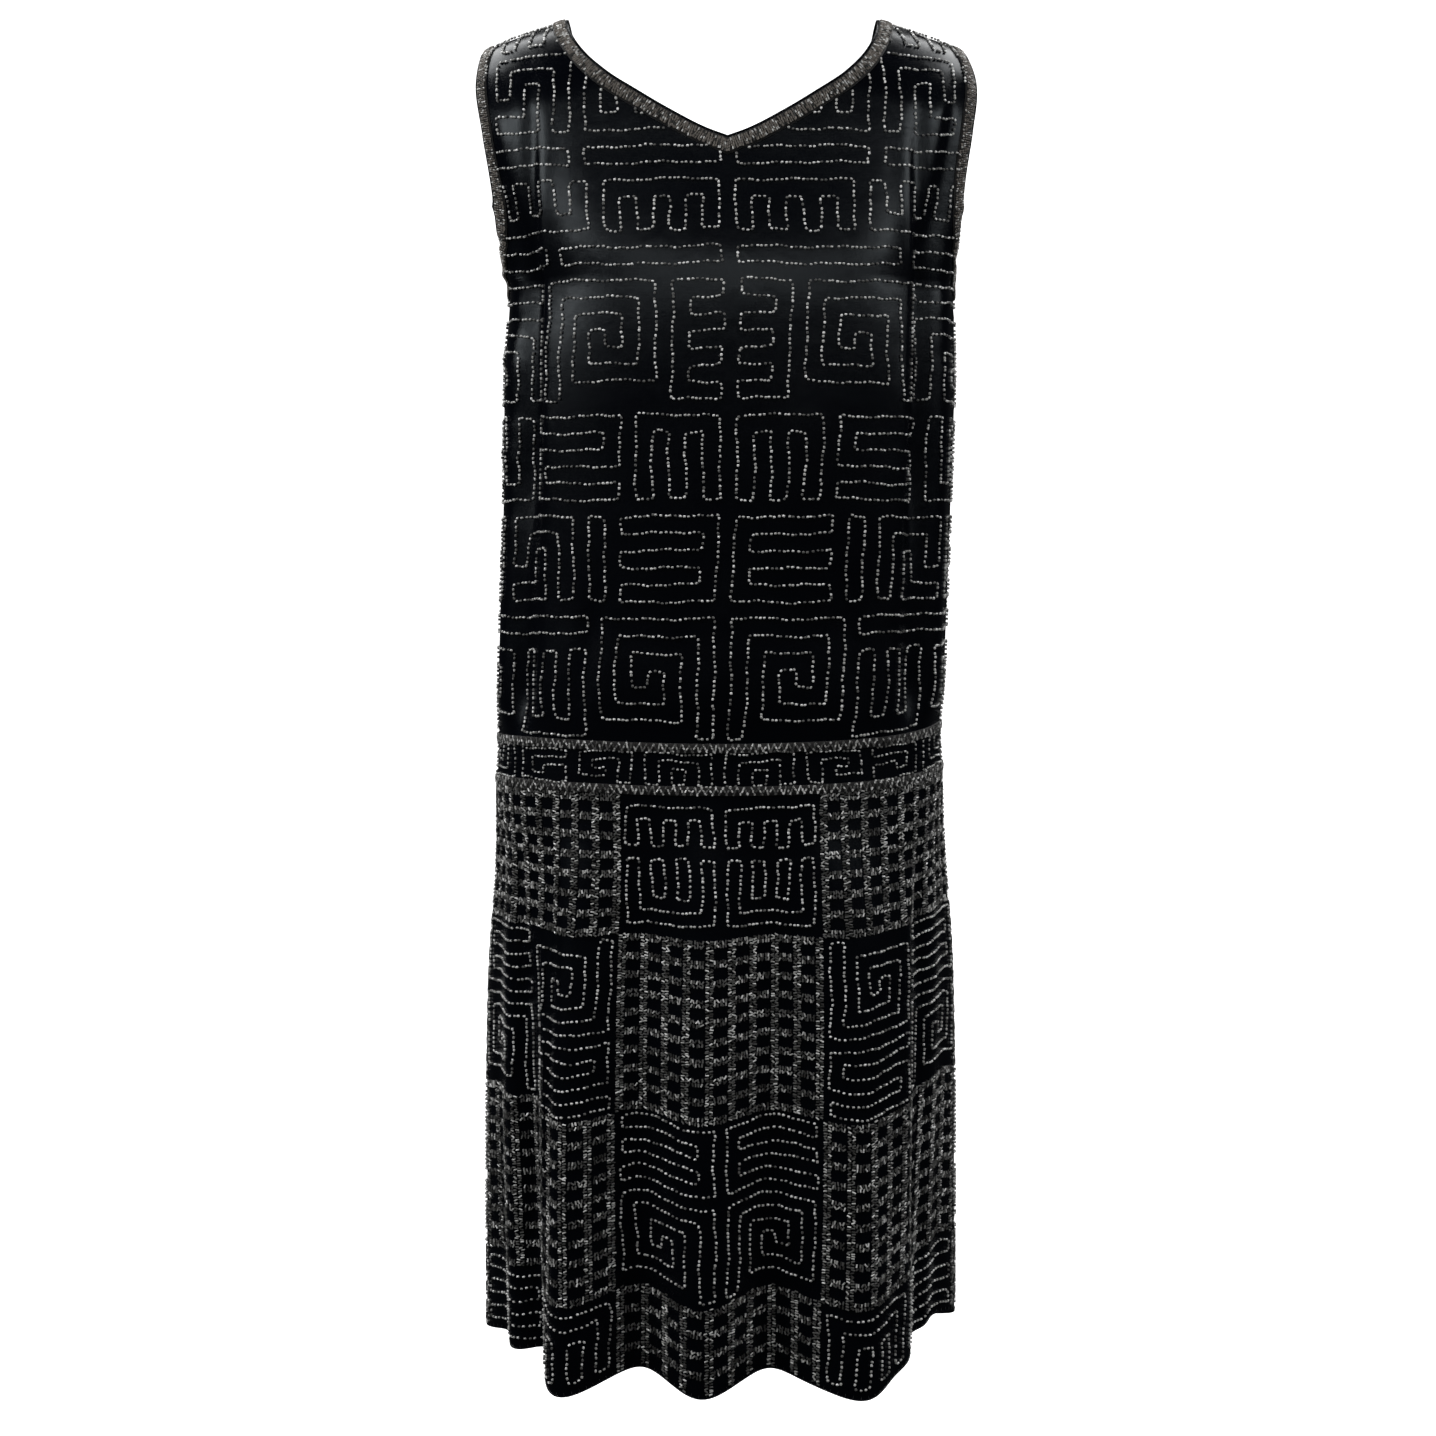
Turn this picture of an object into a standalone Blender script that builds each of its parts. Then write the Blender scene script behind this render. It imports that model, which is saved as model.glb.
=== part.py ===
"""A straight sleeveless evening dress of beaded black silk, filled out as when worn.

The cloth is one hollow tube, open at the neck, the armholes and the hem. Its girth is counted in
quarters: 0 is the centre front, 1 the side seam at +X, 2 the centre back, -1 the side seam at -X.
The front faces -Y, and the origin lies between the inner ends of the two shoulder seams.
"""

import bmesh
import bpy
import numpy as np

# Driving dimensions, in metres
CLOTH = 0.0015  # wall of the silk with its sewn ground
BEADWORK = 0.0012  # wall of the beaded borders
SEAM = 0.0003  # gap between neighbouring pieces
LIFT = 0.0009  # gap between a border and the cloth under it, which its flat faces use up
QUARTER = 0.2325  # a quarter of the girth
SQUARE = 0.25  # how much flatter than an ellipse the front and back are

HIP = -0.541  # seam of bodice and hip band
BAND_FOOT = -0.5725  # seam of hip band and skirt
HEM = -1.0125
UNDERARM = -0.200
V_FRONT = 1.0  # the front neck edge follows NECK_EDGE as it stands
V_BACK = 0.86  # the back neck edge is this much as deep

SHOULDER_ROUND = 0.070  # radius of the fold over the shoulder
SHOULDER_SLOPE = 0.32
SHOULDER_END = 0.155  # beyond this distance from the centre the shoulder bends down
SHOULDER_BEND = 4.5
FOLD_SAG = 0.42  # how far the hem sinks where a fold stands out, as a share of its push
NECK_POINT = 0.1165
ARM_REACH = 0.27  # how far, in quarters of the girth, the armhole cuts into each panel
ARM_WIDEST = -0.090

NECK_BORDER = 0.0105
ARM_BORDER = 0.0090
HIP_BORDER = 0.0070
EDGE = 0.0013  # bare cloth beyond a border

# Height, half width, depth in front, depth behind, sideways drift of the centre
SECTIONS = (
    (0.030, 0.174, 0.085, 0.082, -0.004),
    (-0.020, 0.181, 0.088, 0.084, -0.003),
    (-0.050, 0.1865, 0.090, 0.086, -0.001),
    (-0.090, 0.182, 0.094, 0.088, 0.000),
    (-0.130, 0.1755, 0.098, 0.090, 0.000),
    (-0.165, 0.170, 0.102, 0.092, 0.001),
    (-0.200, 0.168, 0.105, 0.094, 0.003),
    (-0.260, 0.1705, 0.106, 0.096, 0.002),
    (-0.360, 0.170, 0.104, 0.096, 0.000),
    (-0.450, 0.170, 0.101, 0.098, -0.003),
    (-0.515, 0.1695, 0.101, 0.101, -0.005),
    (-0.541, 0.168, 0.099, 0.100, -0.006),
    (-0.573, 0.1695, 0.099, 0.100, -0.006),
    (-0.650, 0.172, 0.101, 0.101, -0.005),
    (-0.700, 0.176, 0.102, 0.103, -0.005),
    (-0.800, 0.179, 0.104, 0.106, -0.005),
    (-0.900, 0.179, 0.106, 0.108, -0.005),
    (-1.012, 0.1785, 0.107, 0.110, -0.005),
)

# Distance from the centre line and height of the front neck edge, from the V up
NECK_EDGE = (
    (0.000, -0.0985),
    (0.014, -0.0934),
    (0.041, -0.0795),
    (0.065, -0.0650),
    (0.0875, -0.0500),
    (0.103, -0.0345),
    (0.1130, -0.0170),
    (0.1165, 0.0000),
)

# Folds: place in quarters, width in quarters, push outwards at the top, push at the foot, top, foot
FOLDS = (
    (-0.68, 0.060, -0.004, -0.011, -0.120, -0.500),
    (0.63, 0.055, -0.004, -0.011, -0.060, -0.500),
    (-0.80, 0.070, 0.002, 0.005, -0.140, -0.500),
    (0.76, 0.070, 0.002, 0.005, -0.140, -0.500),
    (-1.35, 0.090, -0.002, -0.008, -0.120, -0.500),
    (1.30, 0.080, -0.002, -0.007, -0.120, -0.500),
    (-0.430, 0.090, 0.002, 0.023, -0.610, HEM),
    (-0.610, 0.085, -0.001, -0.022, -0.600, HEM),
    (-0.225, 0.090, -0.002, -0.019, -0.590, HEM),
    (-0.050, 0.080, 0.001, 0.016, -0.600, HEM),
    (0.135, 0.085, -0.002, -0.019, -0.590, HEM),
    (0.375, 0.105, 0.002, 0.024, -0.610, HEM),
    (0.700, 0.090, -0.001, -0.018, -0.600, HEM),
    (-0.850, 0.110, -0.003, -0.013, -0.590, HEM),
    (0.860, 0.110, -0.003, -0.014, -0.590, HEM),
    (-1.200, 0.130, 0.002, 0.010, -0.600, HEM),
    (1.180, 0.120, 0.002, 0.009, -0.600, HEM),
    (-1.440, 0.100, -0.002, -0.015, -0.600, HEM),
    (1.420, 0.100, -0.002, -0.014, -0.600, HEM),
    (-1.690, 0.110, 0.001, 0.016, -0.600, HEM),
    (1.650, 0.110, 0.001, 0.015, -0.600, HEM),
    (-1.890, 0.080, -0.001, -0.012, -0.600, HEM),
    (1.860, 0.080, -0.001, -0.011, -0.600, HEM),
    (2.000, 0.080, 0.000, 0.006, -0.620, HEM),
)

# Lifts of the cloth: place in quarters, width in quarters, lift at the hip seam, lift at the hem
WAVES = (
    (1.00, 0.34, 0.010, 0.028),
    (-1.00, 0.36, 0.000, 0.016),
    (0.00, 0.45, -0.004, -0.002),
)

# Cells of the meshes
ACROSS_HALF = 13
ACROSS_SKIRT = 38
ROWS_LOW = 9
ROWS_CHEST = 5
ROWS_ARM = 6
ROWS_STRAP = 8
ROWS_SKIRT = 11
NECK_CROWD = 1.6  # how much closer the rows lie towards the shoulder

COLOURS = {
    "silk": ((0.006, 0.007, 0.010, 1.0), 0.42),
    "beads": ((0.160, 0.152, 0.145, 1.0), 0.30),
}


def table(z, column):
    """One column of SECTIONS at these heights, eased between its rows."""
    heights = np.array([row[0] for row in SECTIONS])[::-1]
    values = np.array([row[column] for row in SECTIONS])[::-1]
    slopes = np.gradient(values, heights)
    z = np.clip(z, heights[0], heights[-1])
    i = np.clip(np.searchsorted(heights, z) - 1, 0, len(heights) - 2)
    step = heights[i + 1] - heights[i]
    t = (z - heights[i]) / step
    return (
        values[i] * (1 + 2 * t) * (1 - t) ** 2
        + values[i + 1] * t**2 * (3 - 2 * t)
        + slopes[i] * step * t * (1 - t) ** 2
        - slopes[i + 1] * step * t**2 * (1 - t)
    )


def ease(t):
    t = np.clip(t, 0.0, 1.0)
    return t * t * (3 - 2 * t)


def arm_reach(z):
    """How far the armhole cuts into a panel at this height, in quarters of the girth."""
    low = np.clip((ARM_WIDEST - z) / (ARM_WIDEST - UNDERARM), 0.0, 1.0)
    return ARM_REACH * np.sqrt(1 - low**2)


def half_width(z):
    """Half width of the whole section: above the underarm the armhole edge lies on the table's line."""
    return table(z, 1) / np.cos(arm_reach(z) * np.pi / 2)


def shoulder_height(x):
    """Height of the shoulder seam's line at this distance from the centre."""
    end = np.maximum(np.abs(x) - SHOULDER_END, 0.0)
    return SHOULDER_SLOPE * (NECK_POINT - np.abs(x)) - SHOULDER_BEND * end**2


def fold_push(g, z):
    push = np.zeros(np.broadcast(g, z).shape)
    for at, width, top_push, foot_push, top, foot in FOLDS:
        apart = (g - at + 2) % 4 - 2
        grown = np.clip((top - z) / (top - foot), 0.0, 1.0)
        start = ease((top + 0.03 - z) / 0.06)
        end = 1.0 if foot < -1.0 else 1 - ease((foot - z) / 0.045)
        size = (top_push + (foot_push - top_push) * grown**0.9) * start * end
        push = push + size * np.exp(-((apart / width) ** 2))
    return push


def lift(g, z):
    """The band sags at the centre front and rises at the +X side, and the skirt's sides hang highest."""
    rise = np.zeros(np.broadcast(g, z).shape)
    near = np.exp(-(((z - HIP) / 0.10) ** 2))
    low = ease((HIP - z) / (HIP - HEM))
    for at, width, at_hip, at_hem in WAVES:
        apart = (g - at + 2) % 4 - 2
        size = np.where(z > HIP, at_hip * near, at_hip + (at_hem - at_hip) * low)
        rise = rise + size * np.exp(-((apart / width) ** 2))
    return rise


def surface(g, z):
    """Points of the dress at a place round the girth and a nominal height."""
    g, z = np.broadcast_arrays(np.asarray(g, float), np.asarray(z, float))
    angle = g * np.pi / 2
    sine, cosine = np.sin(angle), np.cos(angle)
    wide = half_width(z)
    deep = np.where(cosine >= 0, table(z, 2), table(z, 3))
    below = shoulder_height(wide * sine) - z
    turn = np.arccos(np.clip(1 - below / SHOULDER_ROUND, 0.0, 1.0))
    deep = deep * np.sin(turn)
    x = wide * sine
    y = -deep * cosine * (1 + SQUARE * sine**2)
    run = wide * cosine
    rise = deep * sine * (1 + SQUARE * sine**2 - 2 * SQUARE * cosine**2)
    long = np.maximum(np.hypot(run, rise), 1e-9)
    push = fold_push(g, z)
    x = x + push * rise / long
    y = y - push * run / long
    up = z + lift(g, z) - FOLD_SAG * push * ease((BAND_FOOT - z) / 0.15)
    return np.stack([x + table(z, 4), y, up], axis=-1)


def place(x, z, back=False):
    """The place round the girth of a point seen straight from the front."""
    g = np.arcsin(np.clip(x / half_width(z), -1.0, 1.0)) * 2 / np.pi
    if back:
        g = np.where(g >= 0, 2 - g, -2 - g)
    return g


def normals(g, z):
    """Outward normals of the whole tube, the same on both sides of every seam."""
    g, z = np.broadcast_arrays(np.asarray(g, float), np.asarray(z, float))
    step = 1e-4
    along = surface(g + step, z) - surface(g - step, z)
    up = surface(g, z + step) - surface(g, z - step)
    out = np.cross(along, up)
    # On the shoulder the height hardly changes from row to row, so steps go over the fold instead
    x = half_width(z) * np.sin(g * np.pi / 2)
    below = shoulder_height(x) - z
    over = below < 1.1 * SHOULDER_ROUND
    if over.any():
        side = np.where(np.cos(g * np.pi / 2) >= 0, 1.0, -1.0)
        turn = np.arccos(np.clip(1 - below / SHOULDER_ROUND, -1.0, 1.0)) * side

        def folded(x, turn):
            z = shoulder_height(x) - SHOULDER_ROUND * (1 - np.cos(turn))
            front = place(x, z)
            behind = place(x, z, back=True)
            return surface(np.where(turn >= 0, front, behind), z)

        across = folded(x + step, turn) - folded(x - step, turn)
        rise = folded(x, turn - 0.01) - folded(x, turn + 0.01)
        other = np.cross(across, rise)
        out = np.where(over[..., None], other, out)
    return out / np.linalg.norm(out, axis=-1, keepdims=True)


def material(name):
    found = bpy.data.materials.get(name)
    if found is None:
        found = bpy.data.materials.new(name)
        found.use_nodes = True
        shader = found.node_tree.nodes["Principled BSDF"]
        colour, rough = COLOURS[name]
        shader.inputs["Base Color"].default_value = colour
        shader.inputs["Roughness"].default_value = rough
        shader.inputs["Metallic"].default_value = 0.0
        found.diffuse_color = colour
    return found


def wall(name, outer, inner, stuff, ring=False):
    """A closed wall between two grids of points, which join into a ring along their columns if asked."""
    rows, columns = outer.shape[:2]
    points = np.concatenate([outer.reshape(-1, 3), inner.reshape(-1, 3)])
    half = rows * columns
    faces = []
    last = columns if ring else columns - 1
    for i in range(rows - 1):
        for j in range(last):
            k = (j + 1) % columns
            a, b = i * columns + j, i * columns + k
            c, d = b + columns, a + columns
            faces.append((a, b, c, d))
            faces.append((d + half, c + half, b + half, a + half))
    edges = [(j, (j + 1) % columns, True) for j in range(last)]
    top = (rows - 1) * columns
    edges += [(top + j, top + (j + 1) % columns, False) for j in range(last)]
    if not ring:
        edges += [(i * columns, (i + 1) * columns, False) for i in range(rows - 1)]
        edges += [((i + 1) * columns - 1, (i + 2) * columns - 1, True) for i in range(rows - 1)]
    for a, b, forward in edges:
        faces.append((b, a, a + half, b + half) if forward else (a, b, b + half, a + half))
    mesh = bpy.data.meshes.new(name)
    mesh.from_pydata(points.tolist(), [], faces)
    mesh.validate()
    mesh.materials.append(material(stuff))
    body = bpy.data.objects.new(name, mesh)
    COLLECTION.objects.link(body)
    for polygon in mesh.polygons:
        polygon.use_smooth = True
    return body


def panel(name, g, z):
    """A piece of cloth from its grid of places and heights, walled inwards."""
    outer = surface(g, z)
    return wall(name, outer, outer - CLOTH * normals(g, z), "silk")


def neck_point(distance, deep):
    """A point of the neck edge at a share of its length from the V to the shoulder: x and height."""
    x = np.array([p[0] for p in NECK_EDGE])
    z = np.array([p[1] for p in NECK_EDGE]) * deep
    length = np.concatenate([[0], np.cumsum(np.hypot(np.diff(x), np.diff(z)))])
    at = distance * length[-1]
    return np.interp(at, length, x), np.interp(at, length, z)


def arm_heights():
    """Heights along the armhole edge from the underarm up, closest where it turns."""
    low = np.linspace(0, 1, ROWS_ARM + 1) * np.pi / 2
    climb = np.linspace(0, 1, ROWS_STRAP + 1)[1:]
    up = 1 - (1 - climb) ** 1.8
    top = 0.0
    for _ in range(6):
        top = shoulder_height(half_width(top) * np.sin((1 - ARM_REACH) * np.pi / 2))
    below = ARM_WIDEST + (UNDERARM - ARM_WIDEST) * np.cos(low)
    return np.concatenate([below, ARM_WIDEST + (top - ARM_WIDEST) * up])


def bodice(name, deep, back):
    """One panel from the hip seam to the shoulders, as rows from the centre line or neck edge to the side."""
    v_foot = NECK_EDGE[0][1] * deep
    low = np.linspace(HIP + SEAM / 2, UNDERARM, ROWS_LOW + 1)
    arm_z = arm_heights()[1:]
    chest = np.linspace(UNDERARM, v_foot, ROWS_CHEST + 1)[1:]
    share = np.linspace(0, 1, len(arm_z) - ROWS_CHEST + 1)[1:]
    neck_x, neck_z = neck_point(1 - (1 - share) ** NECK_CROWD, deep)
    inner_x = np.concatenate([np.zeros(len(low) + len(chest)), neck_x])
    inner_z = np.concatenate([low, chest, neck_z])
    outer_z = np.concatenate([low, arm_z])
    outer_g = 1 - np.maximum(arm_reach(outer_z), SEAM / 2 / QUARTER)
    outer_x = half_width(outer_z) * np.sin(outer_g * np.pi / 2)
    outer_z[-1] = shoulder_height(outer_x[-1])
    inner_z[-1] = shoulder_height(inner_x[-1])
    f = np.linspace(0, 1, ACROSS_HALF + 1)[None, :]
    inner_g = place(inner_x, inner_z)[:, None]
    g = inner_g + (outer_g[:, None] - inner_g) * f
    z = np.repeat(inner_z[:, None], f.shape[1], axis=1)
    run = np.maximum(outer_x - inner_x, 1e-6)[:, None]
    for _ in range(6):
        x = half_width(z) * np.sin(g * np.pi / 2)
        z = inner_z[:, None] + (outer_z - inner_z)[:, None] * (x - inner_x[:, None]) / run
    for _ in range(6):
        z[-1] = shoulder_height(half_width(z[-1]) * np.sin(g[-1] * np.pi / 2))
    if back:
        g = 2 - g

    def half(g, z):
        outer, out = surface(g, z), normals(g, z)
        outer[-1, :, 1] += (0.5 if back else -0.5) * SEAM
        return outer, outer - CLOTH * out

    weld_halves(name, half(-g, z), half(g, z), len(low) + len(chest), back)


def weld_halves(name, left, right, shared, back):
    """Joins the two half panels along the centre line, which both hold up to the V."""
    rows, columns = right[0].shape[:2]
    count = rows * columns
    ids_right = np.arange(count).reshape(rows, columns)
    ids_left = count + np.arange(count).reshape(rows, columns)
    ids_left[:shared, 0] = ids_right[:shared, 0]
    half = 2 * count
    points = np.concatenate([right[0].reshape(-1, 3), left[0].reshape(-1, 3)])
    points = np.concatenate([points, right[1].reshape(-1, 3), left[1].reshape(-1, 3)])
    faces = []
    rims = []
    for ids, flip in ((ids_right, back), (ids_left, not back)):
        for i in range(rows - 1):
            for j in range(columns - 1):
                quad = [ids[i, j], ids[i, j + 1], ids[i + 1, j + 1], ids[i + 1, j]]
                if flip:
                    quad = quad[::-1]
                faces.append(quad)
                faces.append([k + half for k in quad[::-1]])
        foot = [(ids[0, j], ids[0, j + 1]) for j in range(columns - 1)]
        side = [(ids[i, -1], ids[i + 1, -1]) for i in range(rows - 1)]
        top = [(ids[-1, j + 1], ids[-1, j]) for j in range(columns - 1)]
        neck = [(ids[i + 1, 0], ids[i, 0]) for i in range(shared - 1, rows - 1)]
        for a, b in foot + side + top + neck:
            rims.append((b, a) if flip else (a, b))
    for a, b in rims:
        faces.append([b, a, a + half, b + half])
    mesh = bpy.data.meshes.new(name)
    mesh.from_pydata(points.tolist(), [], [[int(k) for k in face] for face in faces])
    mesh.validate()
    bm = bmesh.new()
    bm.from_mesh(mesh)
    bmesh.ops.delete(bm, geom=[v for v in bm.verts if not v.link_faces], context="VERTS")
    bm.to_mesh(mesh)
    bm.free()
    mesh.materials.append(material("silk"))
    body = bpy.data.objects.new(name, mesh)
    COLLECTION.objects.link(body)
    for polygon in mesh.polygons:
        polygon.use_smooth = True


for old in list(bpy.data.objects):
    bpy.data.objects.remove(old, do_unlink=True)
COLLECTION = bpy.data.collections.new("evening dress")
bpy.context.scene.collection.children.link(COLLECTION)

# Bodice
bodice("bodice_front", V_FRONT, False)
bodice("bodice_back", V_BACK, True)

# Hip band and skirt, each a front and a back panel that meet at the side seams
side_gap = SEAM / 2 / QUARTER
g_front = np.linspace(-1 + side_gap, 1 - side_gap, ACROSS_SKIRT + 1)[None, :]
g_back = np.linspace(1 + side_gap, 3 - side_gap, ACROSS_SKIRT + 1)[None, :]
z_band = np.linspace(BAND_FOOT + SEAM / 2, HIP - SEAM / 2, 3)[:, None]
z_skirt = np.linspace(HEM, BAND_FOOT - SEAM / 2, ROWS_SKIRT + 1)[:, None]
for label, g_side in (("front", g_front), ("back", g_back)):
    panel("hip_band_" + label, *np.broadcast_arrays(g_side, z_band))
    panel("skirt_" + label, *np.broadcast_arrays(g_side, z_skirt))


def border(name, g, z, ring, lift=LIFT):
    """A strip of beading from its grid of places and heights, laid on the cloth."""
    on = surface(g, z)
    out = normals(g, z)
    wall(name, on + (lift + BEADWORK) * out, on + lift * out, "beads", ring)


# Beaded borders above and below the hip band, each a ring over its seam
g_round = np.linspace(-1, 3, 2 * ACROSS_SKIRT + 1)[None, :-1]
for label, seam_z in (("upper", HIP), ("lower", BAND_FOOT)):
    z_ring = np.array([seam_z - HIP_BORDER / 2, seam_z + HIP_BORDER / 2])[:, None]
    border("hip_border_" + label, *np.broadcast_arrays(g_round, z_ring), True)

# Beaded borders along the neck edge, front and back
for label, deep, back in (("front", V_FRONT, False), ("back", V_BACK, True)):
    share = 1 - (1 - np.linspace(0, 1, 19)) ** NECK_CROWD
    share[-1] = 0.999
    ahead = np.clip(share + 0.01, 0, 1)
    behind = np.clip(share - 0.01, 0, 1)
    x, z = neck_point(share, deep)
    x1, z1 = neck_point(ahead, deep)
    x0, z0 = neck_point(behind, deep)
    length = np.hypot(x1 - x0, z1 - z0)
    away_x, away_z = (z1 - z0) / length, -(x1 - x0) / length
    away_x[0], away_z[0] = 0.0, -1.0
    rows = []
    for reach in (EDGE, EDGE + NECK_BORDER / 2, EDGE + NECK_BORDER):
        extra = np.where(share < 0.01, 1.15, 1.0)
        rows.append((x + reach * away_x, z + reach * extra * away_z))
    gx = np.array([r[0] for r in rows])
    gz = np.array([r[1] for r in rows])
    top = shoulder_height(gx[:, -1])
    gz[:, -1] = top - 2e-6
    g = place(gx, gz)
    g = np.concatenate([-g[:, :0:-1], g], axis=1)
    gz = np.concatenate([gz[:, :0:-1], gz], axis=1)
    if back:
        g, gz = 2 - g[:, ::-1], gz[:, ::-1]
    border("neck_border_" + label, g[::-1], gz[::-1], False)


def arm_ring(sign):
    """The strip round one armhole: from the underarm up the front, over the shoulder and down the back."""
    heights = arm_heights()
    low = np.linspace(0, 1, ROWS_ARM + 1) * np.pi / 2
    metre = QUARTER * 0.82
    wide, tall = ARM_REACH * metre, ARM_WIDEST - UNDERARM
    rows = []
    for reach in (EDGE, EDGE + ARM_BORDER / 2, EDGE + ARM_BORDER):
        out_g, out_z = np.sin(low) / wide, -np.cos(low) / tall
        long = np.hypot(out_g, out_z)
        g_low = 1 - (wide * np.sin(low) + reach * out_g / long) / metre
        z_low = ARM_WIDEST - tall * np.cos(low) + reach * out_z / long
        climb = np.linspace(0, 1, ROWS_STRAP + 1)[1:]
        z_edge = heights[ROWS_ARM + 1 :]
        lean = SHOULDER_SLOPE * ease((z_edge - ARM_WIDEST) / 0.03)
        edge_x = half_width(z_edge) * np.sin((1 - ARM_REACH) * np.pi / 2)
        run = reach * (0.74 + 0.22 * climb)
        z_high = z_edge + lean * run
        x_high = edge_x - run
        z_high[-1] = shoulder_height(x_high[-1])
        g_high = place(x_high, z_high)
        front = np.concatenate([g_low, g_high])
        height = np.concatenate([z_low, z_high])
        rows.append((np.concatenate([front, 2 - front[-2:0:-1]]), np.concatenate([height, height[-2:0:-1]])))
    g = np.array([r[0] for r in rows]) * sign
    z = np.array([r[1] for r in rows])
    return g, z


for label, sign in (("right", -1), ("left", 1)):
    g, z = arm_ring(sign)
    if sign < 0:
        g, z = g[::-1], z[::-1]
    border("armhole_border_" + label, g, z, True)
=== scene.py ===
# %% [markdown]
# # A beaded evening dress with a dropped waist
# This lesson builds the looks of a straight sleeveless dress of black silk satin, covered with glass beads.
# The dress is filled out as when it is worn, and it stays hollow: neck, armholes and hem are open.
# The silk is six thin shells on one shape; the beads lie on that same shape, placed by small text charts.

import math

import bmesh
import bpy
import numpy as np
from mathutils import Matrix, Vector


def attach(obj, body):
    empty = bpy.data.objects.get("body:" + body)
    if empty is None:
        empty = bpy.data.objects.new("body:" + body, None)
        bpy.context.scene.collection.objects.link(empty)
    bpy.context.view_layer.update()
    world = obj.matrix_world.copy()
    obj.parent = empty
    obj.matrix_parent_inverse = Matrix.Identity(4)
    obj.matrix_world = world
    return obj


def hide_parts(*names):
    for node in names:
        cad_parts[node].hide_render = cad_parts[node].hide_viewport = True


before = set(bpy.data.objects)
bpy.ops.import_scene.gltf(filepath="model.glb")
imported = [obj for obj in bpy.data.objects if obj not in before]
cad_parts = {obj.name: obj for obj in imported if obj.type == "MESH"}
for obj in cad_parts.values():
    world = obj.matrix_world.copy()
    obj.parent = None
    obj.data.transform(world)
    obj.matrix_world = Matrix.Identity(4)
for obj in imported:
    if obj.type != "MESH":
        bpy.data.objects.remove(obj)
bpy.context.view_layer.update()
rng = np.random.default_rng(1926)

# %% [markdown]
# ## The shape of the dress
# A dress that hangs from the shoulders is close to a tube. Its section at each height is a flattened ellipse.
# Places on it are counted as g, quarters of the girth from the centre front, and z, the height.
# Folds push the cloth in or out. Those of a skirt start at the hip seam and grow towards the hem.

# %%
# Named sizes in metres, and the tables of sections, neck edge and folds
SEAM = 0.0003
QUARTER = 0.2325
SQUARE = 0.25
HIP = -0.541
BAND_FOOT = -0.5725
HEM = -1.0125
UNDERARM = -0.200
V_BACK = 0.86
SHOULDER_ROUND = 0.070
SHOULDER_SLOPE = 0.32
SHOULDER_END = 0.155
SHOULDER_BEND = 4.5
FOLD_SAG = 0.42
NECK_POINT = 0.1165
ARM_REACH = 0.27
ARM_WIDEST = -0.090
NECK_BORDER = 0.0105
ARM_BORDER = 0.0090
HIP_BORDER = 0.0070
EDGE = 0.0013
NECK_CROWD = 1.6

# Height, half width, depth in front, depth behind, sideways drift of the centre
SECTIONS = (
    (0.030, 0.174, 0.085, 0.082, -0.004),
    (-0.020, 0.181, 0.088, 0.084, -0.003),
    (-0.050, 0.1865, 0.090, 0.086, -0.001),
    (-0.090, 0.182, 0.094, 0.088, 0.000),
    (-0.130, 0.1755, 0.098, 0.090, 0.000),
    (-0.165, 0.170, 0.102, 0.092, 0.001),
    (-0.200, 0.168, 0.105, 0.094, 0.003),
    (-0.260, 0.1705, 0.106, 0.096, 0.002),
    (-0.360, 0.170, 0.104, 0.096, 0.000),
    (-0.450, 0.170, 0.101, 0.098, -0.003),
    (-0.515, 0.1695, 0.101, 0.101, -0.005),
    (-0.541, 0.168, 0.099, 0.100, -0.006),
    (-0.573, 0.1695, 0.099, 0.100, -0.006),
    (-0.650, 0.172, 0.101, 0.101, -0.005),
    (-0.700, 0.176, 0.102, 0.103, -0.005),
    (-0.800, 0.179, 0.104, 0.106, -0.005),
    (-0.900, 0.179, 0.106, 0.108, -0.005),
    (-1.012, 0.1785, 0.107, 0.110, -0.005),
)

# Distance from the centre line and height of the front neck edge, from the V up
NECK_EDGE = (
    (0.000, -0.0985),
    (0.014, -0.0934),
    (0.041, -0.0795),
    (0.065, -0.0650),
    (0.0875, -0.0500),
    (0.103, -0.0345),
    (0.1130, -0.0170),
    (0.1165, 0.0000),
)

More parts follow.
